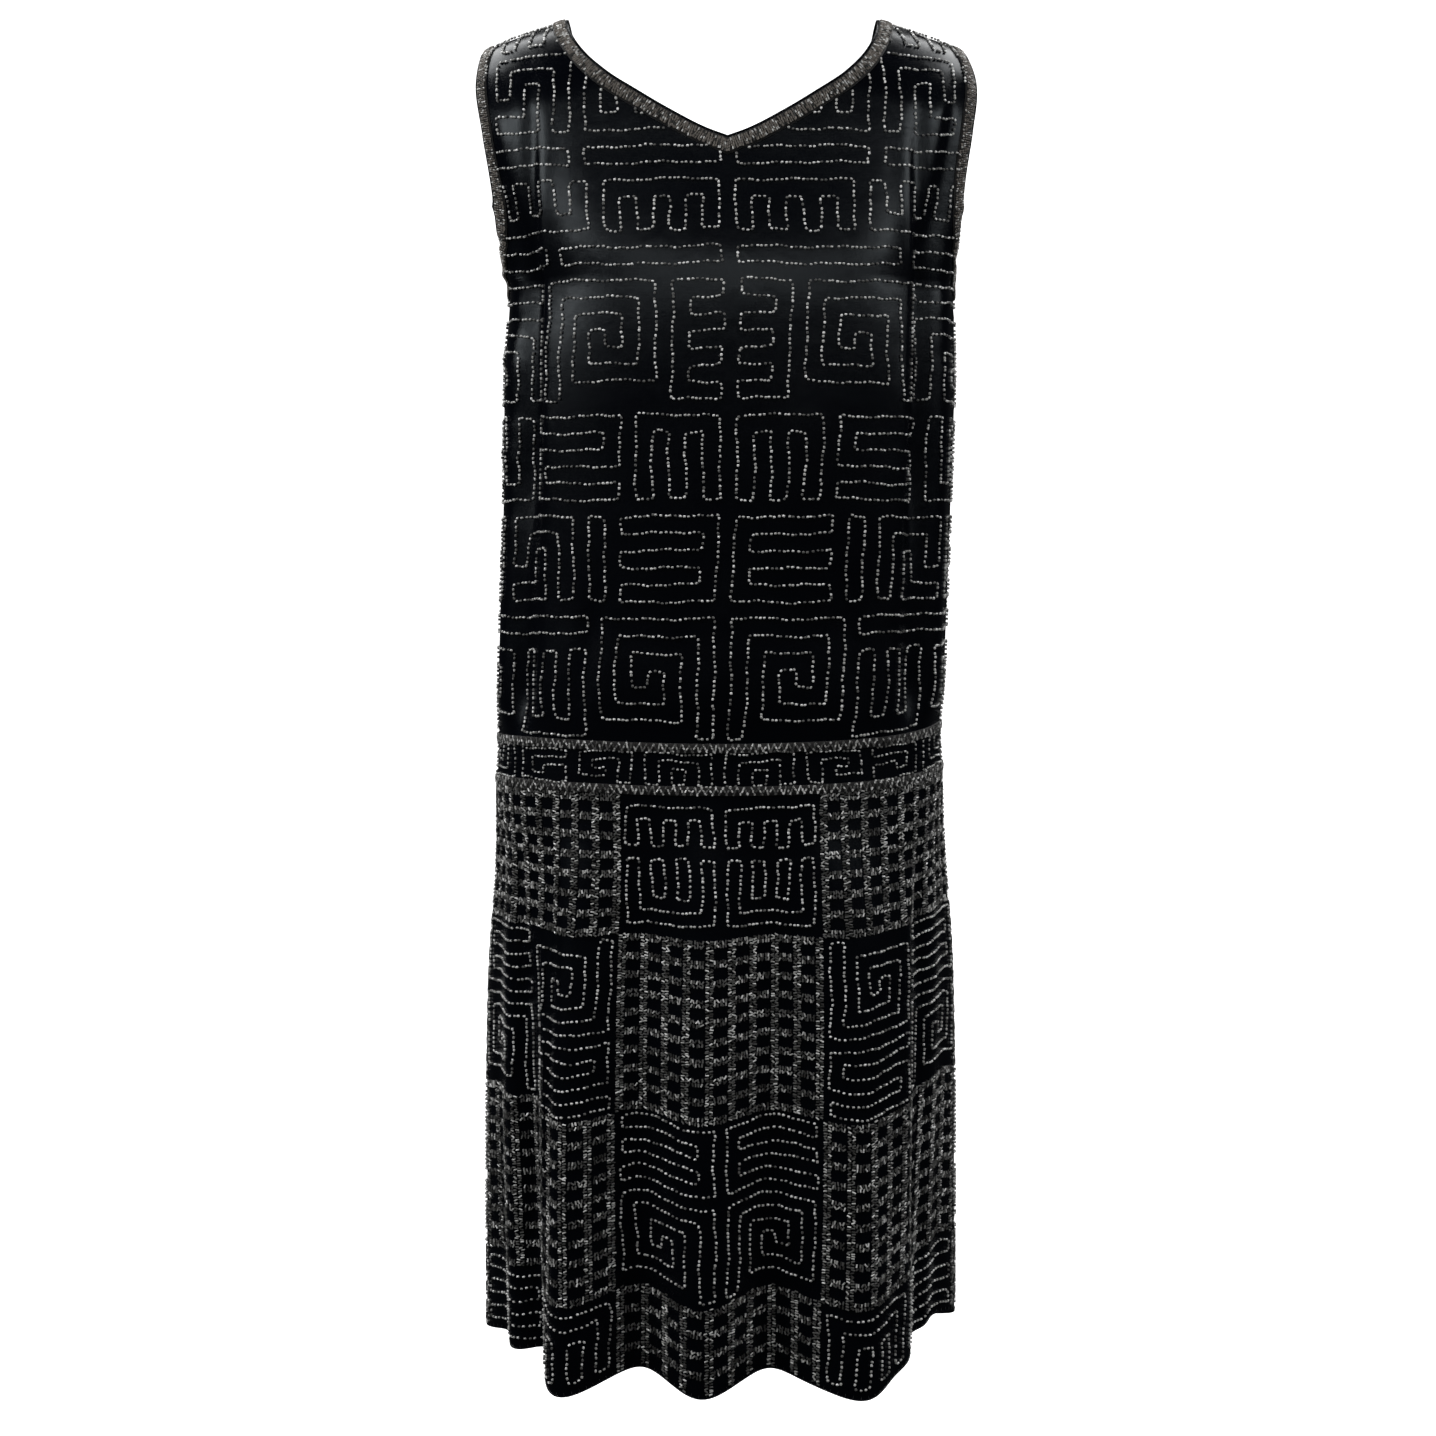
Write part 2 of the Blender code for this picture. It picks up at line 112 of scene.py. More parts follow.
# Folds: place in quarters, width in quarters, push outwards at the top, push at the foot, top, foot
FOLDS = (
    (-0.68, 0.060, -0.004, -0.011, -0.120, -0.500),
    (0.63, 0.055, -0.004, -0.011, -0.060, -0.500),
    (-0.80, 0.070, 0.002, 0.005, -0.140, -0.500),
    (0.76, 0.070, 0.002, 0.005, -0.140, -0.500),
    (-1.35, 0.090, -0.002, -0.008, -0.120, -0.500),
    (1.30, 0.080, -0.002, -0.007, -0.120, -0.500),
    (-0.430, 0.090, 0.002, 0.023, -0.610, HEM),
    (-0.610, 0.085, -0.001, -0.022, -0.600, HEM),
    (-0.225, 0.090, -0.002, -0.019, -0.590, HEM),
    (-0.050, 0.080, 0.001, 0.016, -0.600, HEM),
    (0.135, 0.085, -0.002, -0.019, -0.590, HEM),
    (0.375, 0.105, 0.002, 0.024, -0.610, HEM),
    (0.700, 0.090, -0.001, -0.018, -0.600, HEM),
    (-0.850, 0.110, -0.003, -0.013, -0.590, HEM),
    (0.860, 0.110, -0.003, -0.014, -0.590, HEM),
    (-1.200, 0.130, 0.002, 0.010, -0.600, HEM),
    (1.180, 0.120, 0.002, 0.009, -0.600, HEM),
    (-1.440, 0.100, -0.002, -0.015, -0.600, HEM),
    (1.420, 0.100, -0.002, -0.014, -0.600, HEM),
    (-1.690, 0.110, 0.001, 0.016, -0.600, HEM),
    (1.650, 0.110, 0.001, 0.015, -0.600, HEM),
    (-1.890, 0.080, -0.001, -0.012, -0.600, HEM),
    (1.860, 0.080, -0.001, -0.011, -0.600, HEM),
    (2.000, 0.080, 0.000, 0.006, -0.620, HEM),
)

# Lifts of the cloth: place in quarters, width in quarters, lift at the hip seam, lift at the hem
WAVES = (
    (1.00, 0.34, 0.010, 0.028),
    (-1.00, 0.36, 0.000, 0.016),
    (0.00, 0.45, -0.004, -0.002),
)

# Soft creases: start (g, z), end (g, z), half width, push outwards
CREASES = (
    (-0.690, -0.150, -0.960, -0.128, 0.0036, 0.0016),
    (-0.690, -0.176, -0.960, -0.160, 0.0036, -0.0016),
    (-0.690, -0.205, -0.960, -0.186, 0.0040, 0.0018),
    (-0.690, -0.238, -0.960, -0.222, 0.0042, -0.0018),
    (-0.690, -0.268, -0.960, -0.250, 0.0040, 0.0016),
    (-0.690, -0.300, -0.960, -0.290, 0.0044, -0.0016),
    (-0.700, -0.336, -0.960, -0.322, 0.0044, 0.0016),
    (-0.700, -0.372, -0.960, -0.362, 0.0048, -0.0014),
    (0.680, -0.140, 0.960, -0.156, 0.0036, 0.0014),
    (0.680, -0.172, 0.960, -0.190, 0.0040, -0.0015),
    (0.680, -0.214, 0.960, -0.226, 0.0042, 0.0015),
    (0.680, -0.252, 0.960, -0.262, 0.0044, -0.0014),
    (-0.545, -0.660, -0.500, -1.000, 0.0060, 0.0034),
    (-0.560, -0.640, -0.545, -0.960, 0.0050, -0.0030),
    (0.700, -0.600, 0.640, -0.980, 0.0060, -0.0034),
    (-0.50, -0.150, -0.62, -0.330, 0.010, -0.0016),
    (0.48, -0.150, 0.57, -0.300, 0.010, -0.0016),
    (-0.20, -0.300, -0.10, -0.480, 0.014, 0.0012),
    (0.22, -0.260, 0.16, -0.470, 0.014, 0.0012),
    (-0.36, -0.420, -0.44, -0.535, 0.009, -0.0014),
    (0.34, -0.400, 0.42, -0.535, 0.009, -0.0014),
    (0.02, -0.400, -0.03, -0.535, 0.010, 0.0012),
    (-0.60, -0.060, -0.66, -0.170, 0.008, 0.0014),
    (0.56, -0.040, 0.60, -0.150, 0.008, 0.0014),
    (-0.12, -0.600, -0.10, -0.760, 0.008, -0.0012),
    (0.30, -0.590, 0.31, -0.740, 0.008, 0.0012),
    (-0.34, -0.590, -0.33, -0.720, 0.007, -0.0012),
    (1.60, -0.180, 1.52, -0.420, 0.012, -0.0016),
    (-1.62, -0.180, -1.50, -0.400, 0.012, -0.0016),
    (1.90, -0.320, 1.96, -0.530, 0.012, 0.0014),
    (-1.76, -0.300, -1.82, -0.530, 0.011, -0.0014),
    (1.72, -0.590, 1.74, -0.740, 0.008, -0.0012),
    (-1.94, -0.590, -1.95, -0.760, 0.008, 0.0012),
)

# Pleats of the front that hang straight down: x, top, foot, half width, push outwards
PLEATS = (
    (-0.1440, -0.020, -0.430, 0.0050, -0.0034),
    (-0.1360, -0.030, -0.400, 0.0060, 0.0014),
    (0.1400, -0.030, -0.450, 0.0050, -0.0036),
    (0.1310, -0.040, -0.420, 0.0060, 0.0014),
    (-0.1494, -0.330, -0.560, 0.0068, 0.0045),
    (0.1425, -0.330, -0.560, 0.0068, 0.0045),
    (-0.1260, -0.600, -1.020, 0.0050, -0.0040),
    (-0.1340, -0.610, -1.020, 0.0060, 0.0022),
    (-0.1530, -0.585, -0.990, 0.0045, -0.0050),
    (0.1490, -0.600, -1.000, 0.0045, -0.0045),
)
BUST = -0.180
BUST_PUSH = 0.0030


def smooth(at, keys, values):
    """A smooth line through rising keys and their values."""
    slopes = np.gradient(values, keys)
    at = np.clip(at, keys[0], keys[-1])
    i = np.clip(np.searchsorted(keys, at) - 1, 0, len(keys) - 2)
    step = keys[i + 1] - keys[i]
    t = (at - keys[i]) / step
    start = values[i] * (1 + 2 * t) * (1 - t) ** 2 + slopes[i] * step * t * (1 - t) ** 2
    end = values[i + 1] * t**2 * (3 - 2 * t) - slopes[i + 1] * step * t**2 * (1 - t)
    return start + end


def run_along(path, axis=0):
    """The length run so far at each point of a path, or of the paths along one axis of a grid."""
    steps = np.linalg.norm(np.diff(path, axis=axis), axis=-1)
    return np.insert(np.cumsum(steps, axis=axis), 0, 0.0, axis=axis)


def unit(vectors):
    return vectors / np.maximum(np.linalg.norm(vectors, axis=-1, keepdims=True), 1e-12)


def between(grid, row, column):
    """The value of a grid at places between its rows and columns."""
    i, j = row.astype(int), column.astype(int)
    a, b = row - i, column - j
    low = (1 - b) * grid[i, j] + b * grid[i, j + 1]
    return (1 - a) * low + a * ((1 - b) * grid[i + 1, j] + b * grid[i + 1, j + 1])


def quads(ids):
    """The faces between neighbouring rows and columns of a grid of vertex numbers."""
    corners = ids[:-1, :-1], ids[:-1, 1:], ids[1:, 1:], ids[1:, :-1]
    return np.stack([c.ravel() for c in corners], axis=1)


def table(z, column):
    """One column of SECTIONS at these heights, eased between its rows."""
    rows = SECTIONS[::-1]
    return smooth(z, np.array([row[0] for row in rows]), np.array([row[column] for row in rows]))


def ease(t):
    t = np.clip(t, 0.0, 1.0)
    return t * t * (3 - 2 * t)


def arm_reach(z):
    """How far the armhole cuts into a panel at this height, in quarters of the girth."""
    low = np.clip((ARM_WIDEST - z) / (ARM_WIDEST - UNDERARM), 0.0, 1.0)
    return ARM_REACH * np.sqrt(1 - low**2)


def half_width(z):
    return table(z, 1) / np.cos(arm_reach(z) * np.pi / 2)


def sideways(g, z):
    """Distance from the centre line as seen from the front, before any fold."""
    return half_width(z) * np.sin(g * np.pi / 2)


def shoulder_height(x):
    end = np.maximum(np.abs(x) - SHOULDER_END, 0.0)
    return SHOULDER_SLOPE * (NECK_POINT - np.abs(x)) - SHOULDER_BEND * end**2


def fold_push(g, z):
    push = np.zeros(np.broadcast(g, z).shape)
    for at, width, top_push, foot_push, top, foot in FOLDS:
        apart = (g - at + 2) % 4 - 2
        grown = np.clip((top - z) / (top - foot), 0.0, 1.0)
        start = ease((top + 0.03 - z) / 0.06)
        end = 1.0 if foot < -1.0 else 1 - ease((foot - z) / 0.045)
        size = (top_push + (foot_push - top_push) * grown**0.9) * start * end
        push = push + size * np.exp(-((apart / width) ** 2))
    return push


def crease_push(g, z):
    """Shallow creases: each is a soft trough or ridge along a short line, fading at both ends."""
    push = np.zeros(np.broadcast(g, z).shape)
    for g0, z0, g1, z1, width, height in CREASES:
        run, rise = (g1 - g0) * QUARTER, z1 - z0
        long = math.hypot(run, rise)
        across = ((g - g0 + 2) % 4 - 2) * QUARTER
        along = (across * run + (z - z0) * rise) / long**2
        off = (across * rise - (z - z0) * run) / long
        fade = ease(along / 0.35) * ease((1 - along) / 0.35)
        push = push + height * fade * np.exp(-((off / width) ** 2))
    x = sideways(g, z)
    front = np.cos(g * np.pi / 2) > 0
    for at, top, foot, width, height in PLEATS:
        fade = ease((top - z) / 0.09) * ease((z - foot) / 0.12)
        push = push + np.where(front, height * fade * np.exp(-(((x - at) / width) ** 2)), 0.0)
    # The cloth is stretched over the bust and falls straight from there
    bust = np.clip((BUST + 0.075 - z) / 0.075, 0.0, 1.0) * (1 - ease((BUST - z) / 0.24))
    return push + BUST_PUSH * bust * np.maximum(np.cos(g * np.pi / 2), 0.0)


def lift(g, z):
    """The band sags at the centre front and rises at the +X side, and the skirt's sides hang highest."""
    rise = np.zeros(np.broadcast(g, z).shape)
    near = np.exp(-(((z - HIP) / 0.10) ** 2))
    low = ease((HIP - z) / (HIP - HEM))
    for at, width, at_hip, at_hem in WAVES:
        apart = (g - at + 2) % 4 - 2
        size = np.where(z > HIP, at_hip * near, at_hip + (at_hem - at_hip) * low)
        rise = rise + size * np.exp(-((apart / width) ** 2))
    return rise


def surface(g, z):
    """Points of the cloth's outer face at a place round the girth and a height."""
    g, z = np.broadcast_arrays(np.asarray(g, float), np.asarray(z, float))
    sine, cosine = np.sin(g * np.pi / 2), np.cos(g * np.pi / 2)
    wide = half_width(z)
    deep = np.where(cosine >= 0, table(z, 2), table(z, 3))
    below = shoulder_height(wide * sine) - z
    deep = deep * np.sin(np.arccos(np.clip(1 - below / SHOULDER_ROUND, 0.0, 1.0)))
    x = wide * sine
    y = -deep * cosine * (1 + SQUARE * sine**2)
    run = wide * cosine
    rise = deep * sine * (1 + SQUARE * sine**2 - 2 * SQUARE * cosine**2)
    long = np.maximum(np.hypot(run, rise), 1e-9)
    fold = fold_push(g, z)
    push = fold + crease_push(g, z)
    x = x + push * rise / long
    y = y - push * run / long
    up = z + lift(g, z) - FOLD_SAG * fold * ease((BAND_FOOT - z) / 0.15)
    return np.stack([x + table(z, 4), y, up], axis=-1)


def place(x, z, back=False):
    """The place round the girth of a point seen straight from the front."""
    g = np.arcsin(np.clip(x / half_width(z), -1.0, 1.0)) * 2 / np.pi
    return np.where(g >= 0, 2 - g, -2 - g) if back else g


def normals(g, z):
    """Outward normals of the whole tube, so both sides of a seam agree."""
    g, z = np.broadcast_arrays(np.asarray(g, float), np.asarray(z, float))
    step = 1e-4
    along = surface(g + step, z) - surface(g - step, z)
    out = np.cross(along, surface(g, z + step) - surface(g, z - step))
    # Over the shoulder the height hardly changes from row to row, so steps go round the fold instead
    x = sideways(g, z)
    below = shoulder_height(x) - z
    over = below < 1.1 * SHOULDER_ROUND
    if over.any():
        side = np.where(np.cos(g * np.pi / 2) >= 0, 1.0, -1.0)
        turn = np.arccos(np.clip(1 - below / SHOULDER_ROUND, -1.0, 1.0)) * side

        def folded(x, turn):
            height = shoulder_height(x) - SHOULDER_ROUND * (1 - np.cos(turn))
            return surface(np.where(turn >= 0, place(x, height), place(x, height, True)), height)

        across = folded(x + step, turn) - folded(x - step, turn)
        rise = folded(x, turn - 0.01) - folded(x, turn + 0.01)
        out = np.where(over[..., None], np.cross(across, rise), out)
    return unit(out)


print("widest", round(float(surface(1.0, HEM)[0] - surface(-1.0, HEM)[0]), 3), "m at the hem's side seams")

# %% [markdown]
# ## Materials
# Shader maths reads best as plain expressions, so a small class wraps a node's output.
# The silk is a warp-faced satin: long threads lie on its face and run down the dress, so it shines softly.
# The beads are small glass tubes and seeds with a silvery lining. A few shades of them are mixed in given
# shares.


# %%
# A wrapper for shader sockets, and the node builder
class Wire:
    """An output socket that can be added, multiplied and so on, with numbers on either side."""

    def __init__(self, tree, socket):
        self.tree = tree
        self.socket = socket

    def maths(self, operation, other, swap=False):
        node = self.tree.nodes.new("ShaderNodeMath")
        node.operation = operation
        pair = (other, self) if swap else (self, other)
        for slot, value in zip(node.inputs, pair):
            if isinstance(value, Wire):
                self.tree.links.new(value.socket, slot)
            elif value is not None:
                slot.default_value = value
        return Wire(self.tree, node.outputs[0])

    def __add__(self, other):
        return self.maths("ADD", other)

    def __radd__(self, other):
        return self.maths("ADD", other, True)

    def __mul__(self, other):
        return self.maths("MULTIPLY", other)

    def sine(self):
        return self.maths("SINE", None)


class Look:
    """A material with one Principled shader and a way to add any other node."""

    def __init__(self, name, colour, roughness, **constants):
        self.material = bpy.data.materials.new(name)
        self.material.use_nodes = True
        self.tree = self.material.node_tree
        self.shader = self.tree.nodes["Principled BSDF"]
        self.shader.inputs["Base Color"].default_value = (*colour, 1.0)
        self.shader.inputs["Roughness"].default_value = roughness
        for key, value in constants.items():
            self.shader.inputs[key.replace("_", " ")].default_value = value
        self.material.diffuse_color = (*colour, 1.0)

    def node(self, kind, settings=None, output=0, **inputs):
        """Any node by its type: settings first, then inputs, each a number, a colour or a Wire."""
        made = self.tree.nodes.new("ShaderNode" + kind)
        for key, value in (settings or {}).items():
            setattr(made, key, value)
        for key, value in inputs.items():
            slot = made.inputs[int(key[1:]) if key[1:].isdigit() else key.replace("_", " ")]
            if isinstance(value, Wire):
                self.tree.links.new(value.socket, slot)
            else:
                slot.default_value = value
        return Wire(self.tree, made.outputs[output])

    def feed(self, name, wire):
        self.tree.links.new(wire.socket, self.shader.inputs[name])

    def noise(self, scale, where=None, **more):
        where = where or self.node("TexCoord", None, 3)
        return self.node("TexNoise", None, 0, Vector=where, Scale=scale, **more)

    def shade(self, factor, low, high):
        """Feeds the colour with a mix of two."""
        self.feed("Base Color", self.node("Mix", {"data_type": "RGBA"}, 2, Factor=factor,
                                          _6=(*low, 1.0), _7=(*high, 1.0)))

    def bump(self, height, strength, distance):
        self.feed("Normal", self.node("Bump", None, 0, Height=height, Strength=strength, Distance=distance))


# %% [markdown]
# The satin's own detail: fine floats of thread down the cloth, a slight slub, and soft crinkles.
# The threads are read from the cloth's own map in metres, so they follow each panel's cut.

# %%
# Silk satin
silk = Look("silk_satin", (0.0020, 0.0024, 0.0040), 0.24, Specular_IOR_Level=0.30,
            Specular_Tint=(0.86, 0.95, 1.0, 1.0))
map_uv = silk.node("UVMap", {"uv_map": "cloth"})
u = silk.node("SeparateXYZ", None, 0, Vector=map_uv)
v = silk.node("SeparateXYZ", None, 1, Vector=map_uv)
point = silk.node("TexCoord", None, 3)
cloudy = silk.noise(14.0, point, Detail=4.0)
slub = silk.noise(1.0, silk.node("CombineXYZ", None, 0, X=u * 1500.0, Y=v * 60.0))
crinkle = silk.noise(55.0, point, Detail=3.0, Distortion=0.4)
silk.feed("Roughness", 0.17 + cloudy * 0.08 + slub * 0.05)
silk.shade(cloudy * 0.8, (0.0006, 0.0009, 0.0020), (0.0013, 0.0017, 0.0030))
threads = (u * (2 * math.pi / 0.00045)).sine() * 0.5 + (v * (2 * math.pi / 0.0011) + slub * 6.0).sine() * 0.25
height = threads * 0.00002 + slub * 0.00003 + crinkle * 0.0004 + cloudy * 0.0008
silk.bump(height, 0.55, 1.0)
print("silk has", len(silk.tree.nodes), "nodes")

# %% [markdown]
# Each bead material is one shade: constant sockets, with a faint cloud so that no two areas match exactly.

# %%
# Glass bead shades, the thread and the tape under the borders
SHADES = {
    "bead_bright": ((0.92, 0.92, 0.89), 0.18),
    "bead_silver": ((0.50, 0.50, 0.485), 0.26),
    "bead_pewter": ((0.130, 0.130, 0.126), 0.34),
    "bead_smoke": ((0.042, 0.042, 0.040), 0.36),
    "bead_bronze": ((0.155, 0.140, 0.124), 0.34),
}
beads = {}
for name, (colour, rough) in SHADES.items():
    look = Look(name, colour, rough, Metallic=0.25, Specular_IOR_Level=0.6)
    cloud = look.noise(220.0, Detail=1.0)
    look.shade(cloud, [c * 0.72 for c in colour], [min(c * 1.25, 1.0) for c in colour])
    look.feed("Roughness", rough - 0.06 + cloud * 0.12)
    beads[name] = look.material
thread = Look("thread", (0.010, 0.010, 0.012), 0.55, Sheen_Weight=0.1)
thread.bump(thread.noise(900.0), 0.4, 0.0004)
tape = Look("tape", (0.030, 0.029, 0.028), 0.60, Sheen_Weight=0.1)
grain = tape.noise(700.0)
tape.shade(grain, (0.004, 0.004, 0.005), (0.016, 0.015, 0.014))
tape.bump(grain, 0.5, 0.0004)
print("bead shades", len(beads))

# %% [markdown]
# Every piece of cloth, bead and thread is one mesh, so all are kept as objects in one way.


# %%
# From a finished mesh to an object of the dress
def linked(name, data):
    thing = bpy.data.objects.new(name, data)
    bpy.context.scene.collection.objects.link(thing)
    return thing


def kept(name, mesh):
    piece = linked(name, mesh)
    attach(piece, "root")
    return piece


# %% [markdown]
# ## Cloth shells
# Each panel is cut flat and hangs as a thin curved sheet. A grid of points on the shape makes its face.
# The wall goes inwards by half a millimetre, and the edge is left for a rolled hem.


# %%
# Grids of the panels
NECKS = (("front", 1.0, False), ("back", V_BACK, True))
ARMS = (("left", 1), ("right", -1))
CLOTH = 0.0006
CREST = 0.90


def arm_heights(rows_arm, rows_strap):
    """Heights along the armhole edge from the underarm up, closest where it turns."""
    low = np.linspace(0, 1, rows_arm + 1) * np.pi / 2
    up = 1 - (1 - np.linspace(0, 1, rows_strap + 1)[1:]) ** 1.8
    top = 0.0
    for _ in range(6):
        top = shoulder_height(sideways(1 - ARM_REACH, top))
    return ARM_WIDEST + np.concatenate([(UNDERARM - ARM_WIDEST) * np.cos(low), (top - ARM_WIDEST) * up])


def neck_point(share, deep):
    """A point of the neck edge at a share of its length from the V to the shoulder: x and height."""
    x = np.array([p[0] for p in NECK_EDGE])
    z = np.array([p[1] for p in NECK_EDGE]) * deep
    length = run_along(np.stack([x, z], axis=1))
    return smooth(share * length[-1], length, x), smooth(share * length[-1], length, z)


def over_crest(share):
    """Shares of the neck edge, ever closer at the shoulder, where a small drop is a long way round."""
    return np.where(share > CREST, 1 - (1 - share) ** 2 / (1 - CREST), share)


def bodice_grid(deep, across, low_rows, chest_rows, arm_rows, strap_rows):
    """Places of one half of a front panel, as rows from the centre line or neck edge to the side."""
    v_foot = NECK_EDGE[0][1] * deep
    low = np.linspace(HIP + SEAM / 2, UNDERARM, low_rows + 1)
    arm_z = arm_heights(arm_rows, strap_rows)[1:]
    chest = np.linspace(UNDERARM, v_foot, chest_rows + 1)[1:]
    share = np.linspace(0, 1, len(arm_z) - chest_rows + 1)[1:]
    neck_x, neck_z = neck_point(1 - (1 - share) ** NECK_CROWD, deep)
    inner_x = np.concatenate([np.zeros(len(low) + len(chest)), neck_x])
    inner_z = np.concatenate([low, chest, neck_z])
    outer_z = np.concatenate([low, arm_z])
    outer_g = 1 - np.maximum(arm_reach(outer_z), SEAM / 2 / QUARTER)
    outer_x = sideways(outer_g, outer_z)
    outer_z[-1] = shoulder_height(outer_x[-1])
    inner_z[-1] = shoulder_height(inner_x[-1])
    f = np.linspace(0, 1, across + 1)[None, :]
    inner_g = place(inner_x, inner_z)[:, None]
    g = inner_g + (outer_g[:, None] - inner_g) * f
    z = np.repeat(inner_z[:, None], f.shape[1], axis=1)
    run = np.maximum(outer_x - inner_x, 1e-6)[:, None]
    for _ in range(6):
        x = sideways(g, z)
        z = inner_z[:, None] + (outer_z - inner_z)[:, None] * (x - inner_x[:, None]) / run
    for _ in range(6):
        z[-1] = shoulder_height(sideways(g[-1], z[-1]))
    return g, z, len(low) + len(chest)


def flat_height(x, z):
    """Height in the flat cut: over the shoulder it counts the way round the fold."""
    line = shoulder_height(x)
    turn = np.arccos(np.clip(1 - (line - z) / SHOULDER_ROUND, -1.0, 1.0))
    return np.where(line - z < SHOULDER_ROUND, line - SHOULDER_ROUND * (1 - np.pi / 2 + turn), z)


def shell(name, grids, shared=None):
    """A thin closed sheet from one grid, or from two halves that share the centre line up to the V."""
    points, inner, uv, faces, rims, offset = [], [], [], [], [], 0
    for k, (g, z) in enumerate(grids):
        rows, columns = g.shape
        face = surface(g, z)
        out = normals(g, z)
        if shared is not None:
            face[-1, :, 1] += np.where(np.cos(g[-1] * np.pi / 2) < 0, 0.5, -0.5) * SEAM
        ids = offset + np.arange(rows * columns).reshape(rows, columns)
        if k == 1:
            ids[:shared, 0] = np.arange(rows * columns).reshape(rows, columns)[:shared, 0]
        offset += rows * columns
        run = run_along(face, 1)
        first = -run[:, -1:] / 2
        if shared is not None:
            first = sideways(g[:, :1], z[:, :1])
        sign = -1.0 if k == 1 else 1.0
        flat_u = sign * (np.abs(first) + run) if shared is not None else first + run
        flat_v = flat_height(sideways(g, z), z)
        points.append(face.reshape(-1, 3))
        inner.append((face - CLOTH * out).reshape(-1, 3))
        uv.append(np.stack([flat_u, flat_v], axis=-1).reshape(-1, 2))
        sheet = quads(ids)
        # Going up and along the girth, a face looks outwards only where g grows with the column
        grows = g[0, 1] > g[0, 0]
        faces.append(sheet if grows else sheet[:, ::-1])
        edges = [(ids[0, :-1], ids[0, 1:]), (ids[:-1, -1], ids[1:, -1]), (ids[-1, 1:], ids[-1, :-1])]
        if shared is None:
            edges.append((ids[1:, 0], ids[:-1, 0]))
        else:
            edges.append((ids[shared:, 0], ids[shared - 1 : -1, 0]))
        for one, two in edges:
            rims.append(np.stack([two, one] if grows else [one, two], axis=1))
    faces, rims = np.concatenate(faces), np.concatenate(rims)
    sides = np.concatenate([faces, faces[:, ::-1] + offset])
    walls = np.stack([rims[:, 0], rims[:, 1], rims[:, 1] + offset, rims[:, 0] + offset], axis=1)
    mesh = bpy.data.meshes.new(name)
    mesh.from_pydata(np.concatenate(points + inner).tolist(), [], np.concatenate([sides, walls]).tolist())
    layer = mesh.uv_layers.new(name="cloth")
    flat = np.concatenate(uv + uv)
    corner = np.empty(len(mesh.loops), dtype=np.int32)
    mesh.loops.foreach_get("vertex_index", corner)
    layer.data.foreach_set("uv", flat[corner].ravel())
    bm = bmesh.new()
    bm.from_mesh(mesh)
    bmesh.ops.delete(bm, geom=[v for v in bm.verts if not v.link_faces], context="VERTS")
    bm.to_mesh(mesh)
    bm.free()
    mesh.shade_smooth()
    mesh.set_sharp_from_angle(angle=math.radians(50))
    mesh.materials.append(silk.material)
    return kept(name, mesh)


CELL = 0.0048
CELL_UP = 0.0082
half_across = round(QUARTER / CELL)
low_rows = round((UNDERARM - HIP) / CELL_UP)
panels = {}
for label, deep, back in NECKS:
    g, z, shared = bodice_grid(deep, half_across, low_rows, 15, 17, 20)
    pair = [(2 - g, z), (g - 2, z)] if back else [(g, z), (-g, z)]
    panels["bodice_" + label] = shell("silk_bodice_" + label, pair, shared)

gap = SEAM / 2 / QUARTER
heights = {
    "hip_band_": np.linspace(BAND_FOOT + SEAM / 2, HIP - SEAM / 2, 6),
    "skirt_": np.linspace(HEM, BAND_FOOT - SEAM / 2, round((BAND_FOOT - HEM) / CELL_UP)),
}
for kind, z in heights.items():
    for label, start in (("front", -1), ("back", 1)):
        g = np.linspace(start + gap, start + 2 - gap, 2 * half_across + 1)
        panels[kind + label] = shell("silk_" + kind + label, [np.broadcast_arrays(g[None, :], z[:, None])])
for name, piece in panels.items():
    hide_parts(name)
    print(piece.name, len(piece.data.polygons), "faces")

# %% [markdown]
# ## The flat cut
# Beaders work on flat silk stretched on a frame, before the panels are sewn. So the design is drawn flat:
# X runs from the centre of a panel to its side, H runs up the cloth. A table turns flat places into g and z.


# %%
# From flat cloth to the hanging dress
LEVEL_STEP = 0.004
LEVELS = np.arange(-1.030, 0.0301, LEVEL_STEP)
FLAT_STEPS = 300
FLAT_REACH = 1.25 * QUARTER
STEPS = np.linspace(0.0, 1.0, 201)


def flat_table(centre, sign):
    """For each level the place g at even steps of flat X, from the centre line outwards."""
    g = centre + sign * STEPS[None, :]
    run = run_along(surface(g, LEVELS[:, None]), 1)
    # Below the underarm the panel's width is the cut's width; above it the same scale goes on
    chest = np.searchsorted(LEVELS, UNDERARM)
    scale = np.where(LEVELS < UNDERARM, QUARTER / run[:, -1], QUARTER / run[chest, -1])
    x = np.linspace(0, FLAT_REACH, FLAT_STEPS + 1)
    return np.array([np.interp(x, row * k, STEPS) for row, k in zip(run, scale)])


FLAT = {("front", 1): flat_table(0, 1), ("front", -1): flat_table(0, -1),
        ("back", 1): flat_table(2, -1), ("back", -1): flat_table(2, 1)}


